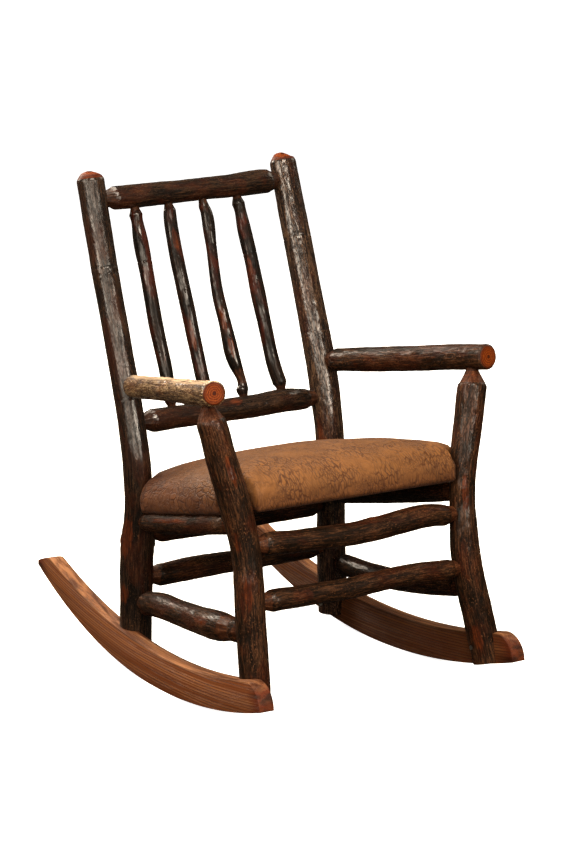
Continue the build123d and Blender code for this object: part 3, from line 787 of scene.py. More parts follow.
# %% [markdown]
# ### Screw holes and sawn feet
#
# Every screw sits at the bottom of a drilled hole. A drill leaves a round
# wall, so the hole is a cylinder taken away from the pole, at each screw of
# the measured model. A foot is sawn twice, beside its rocker and above it, and
# what lies in the corner of the two cuts falls off.

# %% Where the screws sit
HEAD_DEEP = 3.4 * MM
BORE_RADIUS = 4.9 * MM
BORE_DEEP = 60 * MM
WALL_GAP = 3 * MM    # further than this from the old bark, a point lies on the bore's wall


def screw_places(node):
    """Every screw's head, by its outer face's middle, and the way out of its hole."""
    screws = bmesh.new()
    screws.from_mesh(frame["nodes"][node].data)
    bmesh.ops.remove_doubles(screws, verts=screws.verts, dist=0.01 * MM)
    left = set(screws.verts)
    places = []
    while left:
        near = [left.pop()]
        corners = []
        while near:
            v = near.pop()
            corners.append(tuple(v.co))
            for e in v.link_edges:
                other = e.other_vert(v)
                if other in left:
                    left.remove(other)
                    near.append(other)
        corners = np.array(corners)
        low, high = end_points(corners)
        widths = []
        for end in (low, high):
            spots = corners[np.linalg.norm(corners - np.array(end), axis=1) < 7 * MM]
            widths.append(np.ptp(spots, axis=0).sum())
        head, tip = (low, high) if widths[0] > widths[1] else (high, low)
        places.append((head, (head - tip).normalized()))
    screws.free()
    return places


# %% Bore a screw's hole
def shaped(piece):
    """A mesh with the piece's modifiers applied."""
    graph = bpy.context.evaluated_depsgraph_get()
    return bpy.data.meshes.new_from_object(piece.evaluated_get(graph))


def settle(piece):
    """Apply the piece's modifiers for good."""
    piece.data = shaped(piece)
    piece.modifiers.clear()


def near_tree(places):
    """A tree of places, to find the nearest one."""
    tree = KDTree(len(places))
    for number, place in enumerate(places):
        tree.insert(place, number)
    tree.balance()
    return tree


def drill(piece, node, reach):
    """Cut the holes of the screws of a node whose heads are within reach of the piece."""
    tree = near_tree([v.co for v in piece.data.vertices])
    before = piece.data
    bored = 0
    for head, way in screw_places(node):
        if tree.find(head)[2] > reach:
            continue
        bm = bmesh.new()
        bmesh.ops.create_cone(
            bm, cap_ends=True, segments=32, radius1=BORE_RADIUS, radius2=BORE_RADIUS,
            depth=BORE_DEEP)
        middle = head + way * (BORE_DEEP / 2 - HEAD_DEEP)
        turn = way.to_track_quat("Z", "Y").to_matrix().to_4x4()
        bmesh.ops.transform(bm, matrix=Matrix.Translation(middle) @ turn, verts=bm.verts)
        bit = new_piece("bore", bm)
        cut = piece.modifiers.new("bore", "BOOLEAN")
        cut.object = bit
        cut.solver = "EXACT"
        settle(piece)
        bpy.data.objects.remove(bit)
        bored += 1
    if not bored:
        return
    for name in ("grain", "bare", "relief", "rubbed"):
        kind = "vector" if name == "grain" else "value"
        old = before.attributes[name].data
        new = piece.data.attributes[name].data
        for v in piece.data.vertices:
            _, index, gap = tree.find(v.co)
            value = getattr(old[index], kind)
            setattr(new[v.index], kind, 1.0 if name == "bare" and gap > WALL_GAP else value)
    print(piece.name, "bored for", bored, "screws")


# %% Sweep and roughen a pole
POLE_SIDES = 96
SPINDLE_SIDES = 64
CUT_FACE = (0.86, 0.7, 0.54, 0.38, 0.22, 0.1)
CROWN = 14 * MM


def dress_pole(name, number, roughness, low_cap=(), crown=0.0):
    """The roughened bmesh of one pole."""
    sides = SPINDLE_SIDES if name in SPINDLES else POLE_SIDES
    bm = sweep(ring_plan(lines[name], low_cap, crown=crown), sides)
    seed = Vector((7.3, 3.1, 11.7)) * (number + 1)
    marks = [table.get(name, ()) for table in (KNOTS, GROWTH_RINGS, RUBBED)]
    roughen(bm, seed, roughness, *marks)
    return bm


# %% Saw a post's foot to fit its rocker
SLACK = 1e-6       # metres past a plane from which a face lies beyond it
ON_PLANE = 1e-5    # metres from a plane within which a point lies on it


def cut_along(bm, place, normal, clear=False):
    """Cut a bmesh along a plane. clear takes away what lies beyond it."""
    geometry = bm.verts[:] + bm.edges[:] + bm.faces[:]
    return bmesh.ops.bisect_plane(
        bm, geom=geometry, plane_co=place, plane_no=normal, clear_outer=clear)["geom_cut"]


def saw_off(bm, place, normal):
    """Cut everything beyond a plane away, and close the cut."""
    cut = cut_along(bm, place, normal, clear=True)
    edges = [g for g in cut if isinstance(g, bmesh.types.BMEdge)]
    bmesh.ops.edgeloop_fill(bm, edges=edges)


def lap(bm, face_place, face_normal, top_place, top_normal):
    """Cut away what lies beyond one plane and beyond another."""
    for place, normal in ((face_place, face_normal), (top_place, top_normal)):
        cut_along(bm, place, normal)

    def beyond_face(place):
        return (place - face_place).dot(face_normal)

    def beyond_top(place):
        return (place - top_place).dot(top_normal)

    outside = []
    for face in bm.faces:
        middle = face.calc_center_median()
        if beyond_face(middle) > SLACK and beyond_top(middle) > SLACK:
            outside.append(face)
    bmesh.ops.delete(bm, geom=outside, context="FACES")
    rim = [e for e in bm.edges if e.is_boundary]
    ends = []
    for v in {v for e in rim for v in e.verts}:
        if abs(beyond_face(v.co)) < ON_PLANE and abs(beyond_top(v.co)) < ON_PLANE:
            ends.append(v)
    crease = bmesh.ops.contextual_create(bm, geom=ends)["edges"]
    groups = ([], [])
    for e in rim:
        on_face = all(abs(beyond_face(v.co)) < ON_PLANE for v in e.verts)
        groups[0 if on_face else 1].append(e)
    for group in groups:
        bmesh.ops.edgeloop_fill(bm, edges=group + crease)
    print("lap with", len(rim), "edges and", len(ends), "corners")


# %% [markdown]
# ## The rockers' outline
#
# The sawn boards carry the posts, so their outline is felt before the feet are
# cut to it. A board is a plank that toes out a little, so it is felt along its
# own length: from above for the top edge, from below for the sole.

# %% A board that can be felt
class Board:
    """A rocker's own directions, and the heights of its two long edges."""

    def __init__(self, node):
        mesh = frame["nodes"][node].data
        corners = np.array([v.co for v in mesh.vertices])
        self.tree = ray_tree(mesh)
        front = corners[corners[:, 1] < corners[:, 1].min() + 4 * MM]
        back = corners[corners[:, 1] > corners[:, 1].max() - 4 * MM]
        nose = Vector((*(front.max(0) + front.min(0))[:2] / 2, 0))
        tail = Vector((*(back.max(0) + back.min(0))[:2] / 2, 0))
        self.way = (tail - nose).normalized()
        self.beside = Vector((0, 0, 1)).cross(self.way)
        self.middle = (nose + tail) / 2
        reach = (corners - np.array(self.middle)) @ np.array(self.way)
        width = (corners - np.array(self.middle)) @ np.array(self.beside)
        self.low, self.high = float(reach.min()), float(reach.max())
        self.thickness = float(width.max() - width.min())
        self.middle += self.beside * float(width.max() + width.min()) / 2

    def heights(self, along):
        """Heights of the sole and the top edge at a length along the board."""
        spot = self.middle + self.way * min(max(along, self.low + 0.2 * MM), self.high - 0.2 * MM)
        down = self.tree.ray_cast(spot + Vector((0, 0, 1)), Vector((0, 0, -1)))[0]
        up = self.tree.ray_cast(spot - Vector((0, 0, 1)), Vector((0, 0, 1)))[0]
        return up.z, down.z

    def where(self, place):
        """How far along the board a place is."""
        return (place - self.middle).dot(self.way)

    def edge_plane(self, along, top):
        """A plane along the top edge or the sole: a place on it, and its upward normal."""
        reach = 20 * MM
        here = self.heights(along)[top]
        slope = (self.heights(along + reach)[top] - self.heights(along - reach)[top]) / (2 * reach)
        spot = self.middle + self.way * along
        return Vector((spot.x, spot.y, here)), Vector((0, 0, 1)) - self.way * slope


boards = {side: Board("rocker_" + side) for side in ("left", "right")}
for side, board in boards.items():
    toe = math.degrees(math.atan2(board.way.x, board.way.y))
    print(side, "board %.0f mm thick, turned %.1f degrees" % (board.thickness / MM, toe))

# %% Finishes and roughness, by pole
SCREW_NEAR = 30 * MM
FINISHES = {
    "rear_post_left": ridged_bark, "rear_post_right": dark_bark, "arm_right": grey_bark,
    "top_rail": dark_bark, "lower_back_rail": dark_bark,
}
FINISHES.update(dict.fromkeys(SPINDLES, spindle_bark))
ROUGHNESS = {"rear_post_left": 0.5, "rear_post_right": 0.3, "arm_left": 0.9, "arm_right": 0.9}
ROUGHNESS.update(dict.fromkeys(SPINDLES, 0.25))
print("finished apart:", sorted(FINISHES))

# %% Posts, with their feet lapped over the rockers
FOOT_LIFT = 2 * MM
for number, name in enumerate(POSTS):
    side = "left" if name.endswith("left") else "right"
    board = boards[side]
    line = lines[name]
    down = (line[0][0] - line[8][0]).normalized()
    extra = [(line[0][0] + down * (FINE * k), line[0][1]) for k in range(12, 0, -1)]
    lines[name] = extra + line
    crown = CROWN if name.startswith("rear") else 0.0
    bm = dress_pole(name, number, ROUGHNESS.get(name, 0.7), crown=crown)
    foot = line[0][0]
    along = board.where(foot)
    if name.startswith("rear"):
        saw_off(bm, Vector((0, 0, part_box(name)[0][2])), Vector((0, 0, -1)))
    else:
        sole, rise = board.edge_plane(along, False)
        saw_off(bm, sole + Vector((0, 0, FOOT_LIFT)), -rise)
    outward = board.beside * (1 if board.beside.x * board.middle.x > 0 else -1)
    inner_face = board.middle - outward * (board.thickness / 2)
    top_place, top_way = board.edge_plane(along, True)
    lap(bm, inner_face, outward, top_place, -top_way)
    post = add_piece(bm, name + "_bark", FINISHES.get(name, brown_bark), "bark_pole", name)
    drill(post, "rocker_screws", SCREW_NEAR)

# %% Rails, arms and spindles
for number, name in enumerate(RAILS + ARMS + SPINDLES, len(POSTS)):
    low_cap = CUT_FACE if name in ARMS else ()
    bm = dress_pole(name, number, ROUGHNESS.get(name, 0.65), low_cap)
    pole = add_piece(bm, name + "_bark", FINISHES.get(name, brown_bark), "bark_pole", name)
    if name in ("seat_rail_left", "seat_rail_right"):
        drill(pole, "seat_screws", SCREW_NEAR)

# %% [markdown]
# ## Sawn rockers
#
# Each rocker is cut from a plank with a bandsaw. A plank is a stretched cube,
# sliced crosswise where the curve needs it; the slices are then moved to the
# felt heights, and the long edges are rounded over. That is how the real edge
# is made too, and it keeps the faces flat and the arcs smooth.

# %% Bend a plank to the felt outline
SLICE = 9 * MM
NOSE = 66 * MM
TAIL = 60 * MM
END_SHARES = (0.004, 0.015, 0.035, 0.065, 0.10, 0.15, 0.21, 0.28, 0.36, 0.45, 0.55, 0.66, 0.78, 0.9)


def plank_marks(board):
    """Lengths to slice at, close together at the curved ends."""
    marks = []
    for share in END_SHARES:
        marks += [board.low + NOSE * share, board.high - TAIL * share]
    middle = board.high - board.low - NOSE - TAIL
    count = round(middle / SLICE)
    for k in range(count + 1):
        marks.append(board.low + NOSE + middle * k / count)
    return sorted(marks)


def bend_plank(board):
    """A bmesh of the rocker, with rounded long edges."""
    bm = bmesh.new()
    bmesh.ops.create_cube(bm, size=1.0)
    length = board.high - board.low
    turn = Matrix((board.way, board.beside, (0, 0, 1))).transposed().to_4x4()
    centre = board.middle + board.way * (board.low + board.high) / 2
    size = Matrix.Diagonal((length, board.thickness, 1, 1))
    place = Matrix.Translation(centre) @ turn
    bmesh.ops.transform(bm, matrix=place @ size, verts=bm.verts)
    for mark in plank_marks(board):
        cut_along(bm, board.middle + board.way * mark, board.way)
    for v in bm.verts:
        v.co.z = board.heights(board.where(v.co))[0 if v.co.z < 0 else 1]
    bmesh.ops.recalc_face_normals(bm, faces=bm.faces)
    bm.normal_update()
    long_edges = []
    for e in bm.edges:
        lies = abs((e.verts[0].co - e.verts[1].co).dot(board.beside)) < 1e-5
        if lies and e.calc_face_angle(0) > math.radians(60):
            long_edges.append(e)
    bmesh.ops.bevel(
        bm, geom=long_edges, offset=2.4 * MM, segments=3, profile=0.5,
        affect="EDGES", material=-1, clamp_overlap=True,
    )
    return bm


# %% Say how the board's grain runs
GRAIN_FOLLOW = 0.55


def mark_board_grain(bm, board, shift):
    """Grain runs along the plank, and dips a little with its curve."""
    grain = bm.verts.layers.float_vector.new("grain")
    rub = bm.verts.layers.float.new("rub")
    for v in bm.verts:
        along = board.where(v.co)
        sole, top = board.heights(along)
        depth = max(top - sole, 1e-4)
        beside = (v.co - board.middle).dot(board.beside)
        v[grain] = (beside, v.co.z - GRAIN_FOLLOW * sole, along + shift)
        v[rub] = (v.co.z - sole) / depth


# %% Sawn board finish
SEASON = math.tau / (5.6 * MM)


def board_finish(name):
    """Reddish sides with fine straight grain, and a paler, rubbed top edge.

    The inner face is darkened by painted shade. The ends are darker, partly
    with stain soaked into the end grain and partly with painted shade.
    """
    f = Finish(name)
    grain = f.mark("grain", "Vector")
    rub = f.spread(f.mark("rub"), 0.93, 0.99)
    line = f.noise(f.squeeze(grain, 0.5, 1, 0.014), 170, 5, 0.7, 0.25)
    band = f.noise(f.squeeze(grain, 0.5, 1, 0.03), 75, 3, 0.55, 0.5)
    flow = f.noise(f.squeeze(grain, 1, 1, 0.25), 16, 3, 0.5)
    beside, across_board, _ = f.split(grain)
    drift = f.times(f.noise(f.squeeze(grain, 1, 1, 0.10), 30, 3, 0.55), 7.0)
    season = f.maths("SINE", f.plus(f.times(across_board, SEASON), drift))
    season = f.times(f.spread(season, 0.45, 0.95), f.spread(line, 0.30, 0.48))
    pores = f.spread(f.maths("ABSOLUTE", f.minus(line, 0.5)), 0.045, 0.01)
    tone = f.plus(f.times(line, 0.7), f.times(band, 0.3))
    side = f.ramp(tone, (0.42, (98, 53, 26)), (0.5, (114, 66, 35)), (0.58, (132, 82, 47)))
    side = f.blend(f.times(f.spread(flow, 0.45, 0.65), 0.2), side, (108, 54, 27))
    side = f.blend(f.times(season, 0.9), side, (38, 16, 6))
    side = f.blend(f.times(pores, 0.3), side, (46, 20, 10))
    top = f.ramp(tone, (0.42, (66, 36, 18)), (0.5, (100, 62, 36)), (0.58, (134, 92, 60)))
    colour = f.blend(rub, side, top)
    # Painted shade: the inner face of each board is darkened, as the chair shades it.
    x, y, _ = f.split(f.place())
    inward = f.times(beside, f.maths("SIGN", x))
    colour = f.blend(f.times(f.spread(inward, 0.010, 0.015), 0.5), colour, (30, 13, 6))
    # Darker towards both ends: partly stain soaked into the end grain, partly painted shade where
    # the posts shade the ends.
    soaked_and_shaded = f.plus(f.maths("ABSOLUTE", y), f.times(f.minus(flow, 0.5), 0.02))
    soaked_and_shaded = f.times(f.spread(soaked_and_shaded, 0.414, 0.448), 0.9)
    colour = f.blend(soaked_and_shaded, colour, f.ramp(band, (0.40, (38, 13, 4)), (0.60, (78, 29, 8))))
    saw = f.noise(f.squeeze(grain, 0.2, 0.6, 1), 220, 2, 0.4)
    height = f.minus(f.plus(line, f.times(saw, 0.35)), pores)
    bumped = f.bump(height, 0.0007, 0.6)
    f.paint(
        Base_Color=colour, Roughness=f.plus(f.times(line, 0.25), 0.42), Specular_IOR_Level=0.12,
        Coat_Weight=0.06, Coat_Roughness=0.3, Normal=bumped, Coat_Normal=bumped)
    return f.material


# %% Both rockers
sawn_wood = board_finish("sawn_wood")
for number, (side, board) in enumerate(boards.items()):
    bm = bend_plank(board)
    mark_board_grain(bm, board, 3.7 * (number + 1))
    piece = add_piece(bm, "rocker_%s_board" % side, sawn_wood, "sawn_board", "rocker_" + side)
    print(piece.name, len(piece.data.polygons), "faces")

# %% [markdown]
# ## The seat cushion
#
# The seat is foam on a plywood board, under one piece of distressed leather
# that is pulled over it and stapled below. A subdivided box would look like
# one: real leather is stretched by the foam that pushes from inside. So the
# measured foam and board are merged, remeshed in even squares, and blown up
# gently as cloth, held at the board's edge. Creases are pressed in last.

# %% The seat's own directions
mount = next(m for m in frame["record"]["mounts"] if m["name"] == "seat_top")
seat_up = Vector(mount["axis"]).normalized()
seat_back = Vector((1, 0, 0)).cross(seat_up) * -1
board_low, board_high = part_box("seat_board")
board_corners = [v.co for v in frame["nodes"]["seat_board"].data.vertices]
board_bottom = min(v.dot(seat_up) for v in board_corners)
board_deep = max(v.dot(seat_up) for v in board_corners) - board_bottom
front_edge = min(v.dot(seat_back) for v in board_corners)
back_edge = max(v.dot(seat_back) for v in board_corners)
print("board %.0f mm thick, %.0f mm deep" % (board_deep / MM, (back_edge - front_edge) / MM))

# %% Merge foam and board, in even squares
VOXEL = 5 * MM
COVER = 2 * MM
pad = bmesh.new()
for node in ("seat_foam", "seat_board"):
    pad.from_mesh(frame["nodes"][node].data)
bmesh.ops.remove_doubles(pad, verts=pad.verts, dist=0.01 * MM)
cushion = new_piece("seat_cushion", pad)
remesh = cushion.modifiers.new("even squares", "REMESH")
remesh.mode = "VOXEL"
remesh.voxel_size = VOXEL
settle(cushion)

pad = bmesh.new()
pad.from_mesh(cushion.data)
for _ in range(3):
    bmesh.ops.smooth_vert(
        pad, verts=pad.verts, factor=0.5, use_axis_x=True, use_axis_y=True, use_axis_z=True)
pad.normal_update()
moves = [(v, v.normal * COVER) for v in pad.verts]
for v, move in moves:
    v.co += move
    below = board_bottom - v.co.dot(seat_up)
    if below > 0:
        v.co += seat_up * below
pad.to_mesh(cushion.data)
pad.free()
print("cushion:", len(cushion.data.vertices), "points")

# %% Blow it up as cloth, held at the board
SWELL = 5.0 * MM
HELD = 11 * MM
RISE = 0.3      # share of the swelling that goes upwards
DRAW_IN = 0.2   # share of the sides' drawing in that the stuffing lets through


def swell(piece, pressure, frames_run, most):
    """Inflate a closed piece, and let no point move further than most."""
    start = [v.co.copy() for v in piece.data.vertices]
    group = piece.vertex_groups.new(name="held")
    held = [v.index for v in piece.data.vertices if v.co.dot(seat_up) - board_bottom < HELD]
    group.add(held, 1.0, "REPLACE")
    cloth = piece.modifiers.new("cloth", "CLOTH")
    cloth.settings.quality = 5
    cloth.settings.tension_stiffness = 8
    cloth.settings.bending_stiffness = 1.5
    cloth.settings.use_pressure = True
    cloth.settings.uniform_pressure_force = pressure
    cloth.settings.vertex_group_mass = "held"
    cloth.settings.effector_weights.gravity = 0
    for number in range(1, frames_run + 1):
        bpy.context.scene.frame_set(number)
    blown = shaped(piece)
    piece.modifiers.clear()
    piece.vertex_groups.clear()
    for v, old, new in zip(piece.data.vertices, start, blown.vertices):
        move = new.co - old
        move -= seat_up * (move.dot(seat_up) * (1 - RISE))
        move *= DRAW_IN if move.dot(v.normal) < 0 else 1.0
        v.co = old + move * min(1.0, most / max(move.length, 1e-9))
    bpy.context.scene.frame_set(1)
    return max((v.co - old).length for v, old in zip(piece.data.vertices, start))


# %% Let the sides belly out over the board
post_middles = [place for name in POSTS for place in lines[name]]
post_tree = near_tree([centre for centre, _ in post_middles])
BULGE = 6.0 * MM
BULGE_TALL = 46 * MM
POST_ROOM = 4.5 * MM


def bulge(piece):
    """Let the sides belly out over the board's edge, but not against the posts."""
    for v in piece.data.vertices:
        over_board = v.co.dot(seat_up) - board_bottom
        outward = v.normal - seat_up * v.normal.dot(seat_up)
        if not 0 < over_board < BULGE_TALL or outward.length < 0.3:
            continue
        _, number, gap = post_tree.find(v.co)
        room = gap - post_middles[number][1] - POST_ROOM
        push = BULGE * math.sin(math.pi * (over_board / BULGE_TALL) ** 0.7)
        v.co += outward * max(min(push, room * 0.6), 0.0)


bulge(cushion)
print("swelled by %.1f mm at most" % (swell(cushion, 4.0, 20, SWELL) / MM))

# %% Smaller squares, then creases
smoother = cushion.modifiers.new("finer", "SUBSURF")
smoother.levels = smoother.render_levels = 1
settle(cushion)


def crease_height(place):
    """Relief of the leather: folds from the front corners, creases over the front."""
    over_board = place.dot(seat_up) - board_bottom
    from_front = place.dot(seat_back) - front_edge
    if over_board < 3 * MM:
        return 0.0
    wander = place.x + noise.noise(place * 9) * 0.012
    gathers = noise.noise(Vector((wander / 0.011, from_front / 0.11, over_board / 0.07)))
    swell_at = Vector((place.x / 0.07, from_front / 0.06, over_board / 0.09))
    broad = noise.noise(swell_at + Vector((3, 8, 1)))
    front = math.exp(-max(from_front - 0.015, 0) / 0.045)
    pull = 0.0
    for sign in (-1, 1):
        beside = place.x - sign * 0.225
        away = math.hypot(beside, from_front)
        turn = math.atan2(from_front + 0.01, -sign * beside)
        pull += math.exp(-away / 0.05) * math.sin(turn * 9 + 1.2 * sign)
    height = 0.35 * front * gathers + 0.9 * broad + 0.7 * pull
    return height * MM * min(over_board / (16 * MM), 1.0)


def reshape(piece, shift):
    """Move every point of a piece by shift(point), all worked out first."""
    bm = bmesh.new()
    bm.from_mesh(piece.data)
    bm.normal_update()
    moves = [(v, shift(v)) for v in bm.verts]
    for v, move in moves:
        v.co += move
    bm.to_mesh(piece.data)
    bm.free()


reshape(cushion, lambda v: v.normal * crease_height(v.co))
for polygon in cushion.data.polygons:
    polygon.use_smooth = True

# %% [markdown]
# ### The hem
#
# An upholsterer turns the leather under the board and staples it there. So the
# cushion's underside is not left flat: near the board's edge it stands down by
# the leather's thickness, up to a cut line that is never quite straight, and
# inside that line it is lifted clear, so that the bare plywood shows.

# %% The hem, folded under the board
HEM = 27 * MM
HEM_THICK = 0.7 * MM
HOLLOW = 3 * MM
board_tree = ray_tree(frame["nodes"]["seat_board"].data)


def compass(count):
    """Directions all round, in the plane of the seat."""
    turns = [math.tau * k / count for k in range(count)]
    return [Vector((1, 0, 0)) * math.cos(turn) + seat_back * math.sin(turn) for turn in turns]


HEM_WAYS = compass(16)


def from_edge(place):
    """How far inside the board's edge a place on its underside is."""
    inside = place + seat_up * (board_bottom + board_deep / 2 - place.dot(seat_up))
    gaps = [board_tree.ray_cast(inside, way, HEM * 2)[3] for way in HEM_WAYS]
    return min((gap for gap in gaps if gap is not None), default=HEM * 2)


def fold(v):
    """Down by the hem's thickness near the edge, and up to the board inside it."""
    if v.co.dot(seat_up) - board_bottom > 0.4 * MM:
        return Vector()
    cut_line = HEM + 2.5 * MM * noise.noise(v.co * 30)
    return seat_up * (HOLLOW if from_edge(v.co) > cut_line else -HEM_THICK)


reshape(cushion, fold)
print("hem folded %.0f mm under the board" % (HEM / MM))

# %% Distressed leather
def leather_finish(name):
    """Tan leather with a suede nap: pebbled, clouded, and cracked over the front.

    Its top is painted lighter than its sides: a painted highlight from the lamps above.
    """
    f = Finish(name)
    place = f.place()
    cloud = f.noise(place, 7.5, 4, 0.6, 0.5)
    mottle = f.noise(place, 42, 6, 0.68, 0.3)
    pebble = f.noise(place, 620, 4, 0.6)
    tone = f.plus(f.times(cloud, 0.55), f.times(mottle, 0.45))
    colour = f.ramp(
        tone, (0.38, (48, 24, 11)), (0.46, (66, 35, 17)),
        (0.54, (79, 45, 23)), (0.62, (92, 56, 30)))
    # Painted highlight: the top of the cushion is lighter than its sides, as the light from above
    # makes it.
    high = f.spread(f.split(place)[2], 0.40, 0.45)
    colour = f.blend(f.times(high, 0.65), colour, (110, 73, 36))
    colour = f.blend(f.times(f.spread(pebble, 0.35, 0.7), 0.15), colour, (128, 86, 50))

    push = f.scaled_noise(place, 14, 0.016)
    bent = f.add("VectorMath", {0: place, 1: push}, operation="ADD").outputs[0]
    line = f.cracks(f.squeeze(bent, 1, 0.26, 0.32), 165, 0.14, 0.03)
    fine_line = f.cracks(bent, 210, 0.14, 0.02)
    where = f.spread(f.noise(place, 15, 3, 0.6), 0.30, 0.54)
    where_fine = f.spread(f.noise(f.squeeze(place, 1, 1, 1.2), 21, 3, 0.6), 0.46, 0.58)
    line = f.times(line, where)
    fine_line = f.times(fine_line, where_fine)
    cracks = f.maths("MAXIMUM", line, f.times(fine_line, 0.8))
    colour = f.blend(f.times(cracks, 0.75), colour, (38, 15, 5))
    height = f.plus(f.times(pebble, 0.5), f.times(mottle, 0.6))
    height = f.minus(height, f.times(cracks, 0.8))
    f.paint(
        Base_Color=colour, Roughness=f.plus(f.times(mottle, 0.3), 0.42), Specular_IOR_Level=0.12,
        Sheen_Weight=0.02, Sheen_Roughness=0.5, Normal=f.bump(height, 0.0012, 0.7))
    return f.material


# %% Dress the cushion
cushion.data.materials.clear()
cushion.data.materials.append(leather_finish("distressed_leather"))
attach(cushion, "root")
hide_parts("seat_foam", "seat_cover")
print("cushion:", len(cushion.data.polygons), "faces after creasing")

# %% [markdown]
# ## Plywood and screws
#
# The screws' measured shapes are right, so they only get dull steel. The board
# is drawn in a little on all sides, to lie inside the leather. Staples are
# short crowns of wire, set round the hem at an even pace.

# %% Plywood and steel
def plywood_finish(name):
    """Rotary-cut face veneer."""
    f = Finish(name)
    place = f.place()
    face = f.noise(f.squeeze(place, 0.06, 1, 1), 60, 4, 0.6, 1.2)
    colour = f.ramp(face, (0.35, (150, 112, 72)), (0.5, (184, 146, 102)), (0.7, (206, 172, 128)))
    rough = f.plus(f.times(face, 0.3), 0.5)
    f.paint(Base_Color=colour, Roughness=rough, Normal=f.bump(face, 0.0006, 0.5))
    return f.material


def steel_finish(name):
    """Dull zinc-plated steel, faintly blotched."""
    f = Finish(name)
    blotch = f.noise(f.place(), 300, 3, 0.6)
    colour = f.ramp(blotch, (0.3, (110, 108, 104)), (0.7, (164, 162, 156)))
    rough = f.plus(f.times(blotch, 0.25), 0.25)
    f.paint(Base_Color=colour, Metallic=1.0, Roughness=rough, Normal=f.bump(blotch, 0.0001, 0.4))
    return f.material


plywood = plywood_finish("plywood")
steel = steel_finish("dull_steel")
for node in ("seat_screws", "rocker_screws"):
    slots = frame["nodes"][node].data.materials
    slots.clear()
    slots.append(steel)

# %% Board under the cover
board = bmesh.new()
board.from_mesh(frame["nodes"]["seat_board"].data)
bmesh.ops.remove_doubles(board, verts=board.verts, dist=0.01 * MM)
middle = (board_low + board_high) / 2
shrink = Matrix.Diagonal((0.972, 0.968, 1, 1))
shrink = Matrix.Translation(middle) @ shrink @ Matrix.Translation(-middle)
bmesh.ops.transform(board, matrix=shrink, verts=board.verts)
piece = add_piece(board, "seat_board_ply", plywood, "seat_board", "seat_board")
for polygon in piece.data.polygons:
    polygon.use_smooth = False

# %% Staples in the hem
STAPLE_WIDE = 10 * MM
STAPLE_WIRE = 0.9 * MM
STAPLE_GAP = 42 * MM
STAPLE_INSET = 14 * MM


def staple(bm, place, way):
    """One crown of wire, pressed into the hem, square to way."""
    made = bmesh.ops.create_cube(bm, size=1.0)["verts"]
    beside = seat_up.cross(way).normalized()
    turn = Matrix((beside, way, seat_up)).transposed().to_4x4()
    size = Matrix.Diagonal((STAPLE_WIDE, STAPLE_WIRE, STAPLE_WIRE, 1))
    bmesh.ops.transform(bm, matrix=Matrix.Translation(place) @ turn @ size, verts=made)
    edges = {e for v in made for e in v.link_edges}
    long = [e for e in edges if abs((e.verts[0].co - e.verts[1].co).dot(beside)) > MM]
    bmesh.ops.bevel(
        bm, geom=long, offset=0.3 * MM, segments=2, profile=0.5, affect="EDGES", material=-1)


middle = seat_up * (board_bottom - HEM_THICK) + seat_back * (front_edge + back_edge) / 2
wires = bmesh.new()
count = 0
inside = middle + seat_up * (board_deep / 2 + HEM_THICK)
outline = []
for way in compass(720):
    hit = board_tree.ray_cast(inside, way)
    outline.append((hit[0] - seat_up * (board_deep / 2 + HEM_THICK), hit[1]))
walked = 0.0
for (last, _), (spot, face) in zip(outline, outline[1:]):
    walked += (spot - last).length
    if walked > STAPLE_GAP:
        walked = 0.0
        inward = -(face - seat_up * face.dot(seat_up)).normalized()
        staple(wires, spot + inward * STAPLE_INSET, inward)
        count += 1
add_piece(wires, "hem_staples", steel, "screws")
print(count, "staples")

# %% [markdown]
# ## Floor, light and camera
#
# A pale floor that fades into white, and eight soft lamps. Lacquered poles
# show a lamp as a bright strip wherever they mirror it, so the lamps in front
# are hung low and wide: together they draw the broad sheen down the upright
# posts. The key lamp lights the seat, and the others light the sides and the
# back. The camera stands well back with a long lens, so that upright poles
# stay upright.

# %% Floor
ground = bmesh.new()
bmesh.ops.create_grid(ground, x_segments=1, y_segments=1, size=40)
floor = new_piece("floor", ground)
pale = Finish("pale_floor")
away = pale.add("VectorMath", {0: pale.place()}, operation="LENGTH").outputs["Value"]
glow = pale.plus(pale.times(pale.spread(away, 0.9, 3.0), 0.2), 0.88)
pale.paint(
    Base_Color=(0.9, 0.9, 0.9, 1), Roughness=0.9,
    Emission_Color=(1, 1, 1, 1), Emission_Strength=glow)
floor.data.materials.append(pale.material)
floor.visible_glossy = False
floor.visible_diffuse = False

# %% Lamps
AIM = Vector((0.0307, -0.0194, 0.4814))
WARM = (1.0, 0.86, 0.70)


def from_chair(azimuth, elevation):
    """A direction: degrees round from the front, towards the sitter's left, and up."""
    turn = math.radians(azimuth)
    rise = math.radians(elevation)
    flat = math.cos(rise)
    return Vector((math.sin(turn) * flat, -math.cos(turn) * flat, math.sin(rise)))


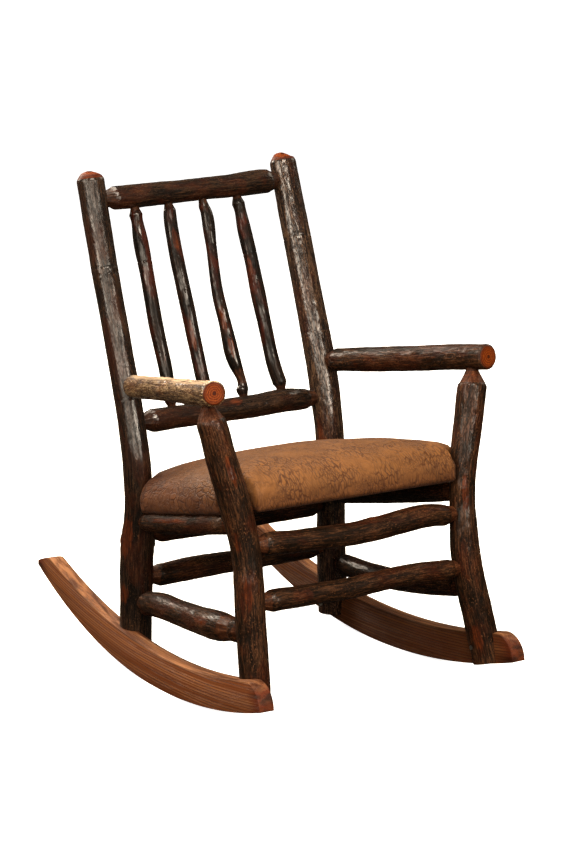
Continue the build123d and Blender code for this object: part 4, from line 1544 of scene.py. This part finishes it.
def lamp(name, azimuth, elevation, distance, width, height, power):
    """A softbox at a direction from the chair, aimed at it."""
    way = from_chair(azimuth, elevation)
    light = bpy.data.lights.new(name, "AREA")
    light.shape = "RECTANGLE"
    light.size = width
    light.size_y = height
    light.energy = power
    light.color = WARM
    made = bpy.data.objects.new(name, light)
    made.location = AIM + way * distance
    made.rotation_euler = way.to_track_quat("Z", "Y").to_euler()
    made.visible_camera = False
    bpy.context.scene.collection.objects.link(made)


lamp("front wall", -32, 19, 3.0, 6.4, 1.2, 104)
lamp("strip", 9, 19, 2.9, 0.8, 1.2, 38)
lamp("key", -25, 50, 3.2, 1.6, 1.2, 145)
lamp("left", -88, 30, 3.2, 1.6, 1.6, 62)
lamp("overhead", 205, 68, 3.0, 1.6, 1.6, 120)
lamp("behind", 200, 29, 3.2, 1.0, 1.0, 40)
lamp("back", 192, 30, 3.4, 2.4, 1.4, 110)
lamp("right", 95, 35, 3.4, 1.6, 1.6, 45)

# %% A white surround that lights the chair only weakly
AMBIENT = (0.05, 0.04, 0.03, 1)
world = bpy.data.worlds.new("tent")
world.use_nodes = True
nodes = world.node_tree.nodes
ray = nodes.new("ShaderNodeLightPath")
tone = nodes.new("ShaderNodeMix")
tone.data_type = "RGBA"
tone.inputs[6].default_value = AMBIENT
tone.inputs[7].default_value = (1, 1, 1, 1)
world.node_tree.links.new(ray.outputs["Is Camera Ray"], tone.inputs[0])
world.node_tree.links.new(tone.outputs[2], nodes["Background"].inputs["Color"])
bpy.context.scene.world = world
bpy.context.scene.view_settings.view_transform = "Standard"

# %% Camera
AZIMUTH = -32.97
ELEVATION = 12.69
DISTANCE = 6.169
LENS = 131.4
view = from_chair(AZIMUTH, ELEVATION)
camera_data = bpy.data.cameras.new("camera")
camera_data.lens = LENS
camera_data.sensor_width = 36
camera = bpy.data.objects.new("camera", camera_data)
camera.location = AIM + view * DISTANCE
camera.rotation_euler = view.to_track_quat("Z", "Y").to_euler()
bpy.context.scene.collection.objects.link(camera)
bpy.context.scene.camera = camera
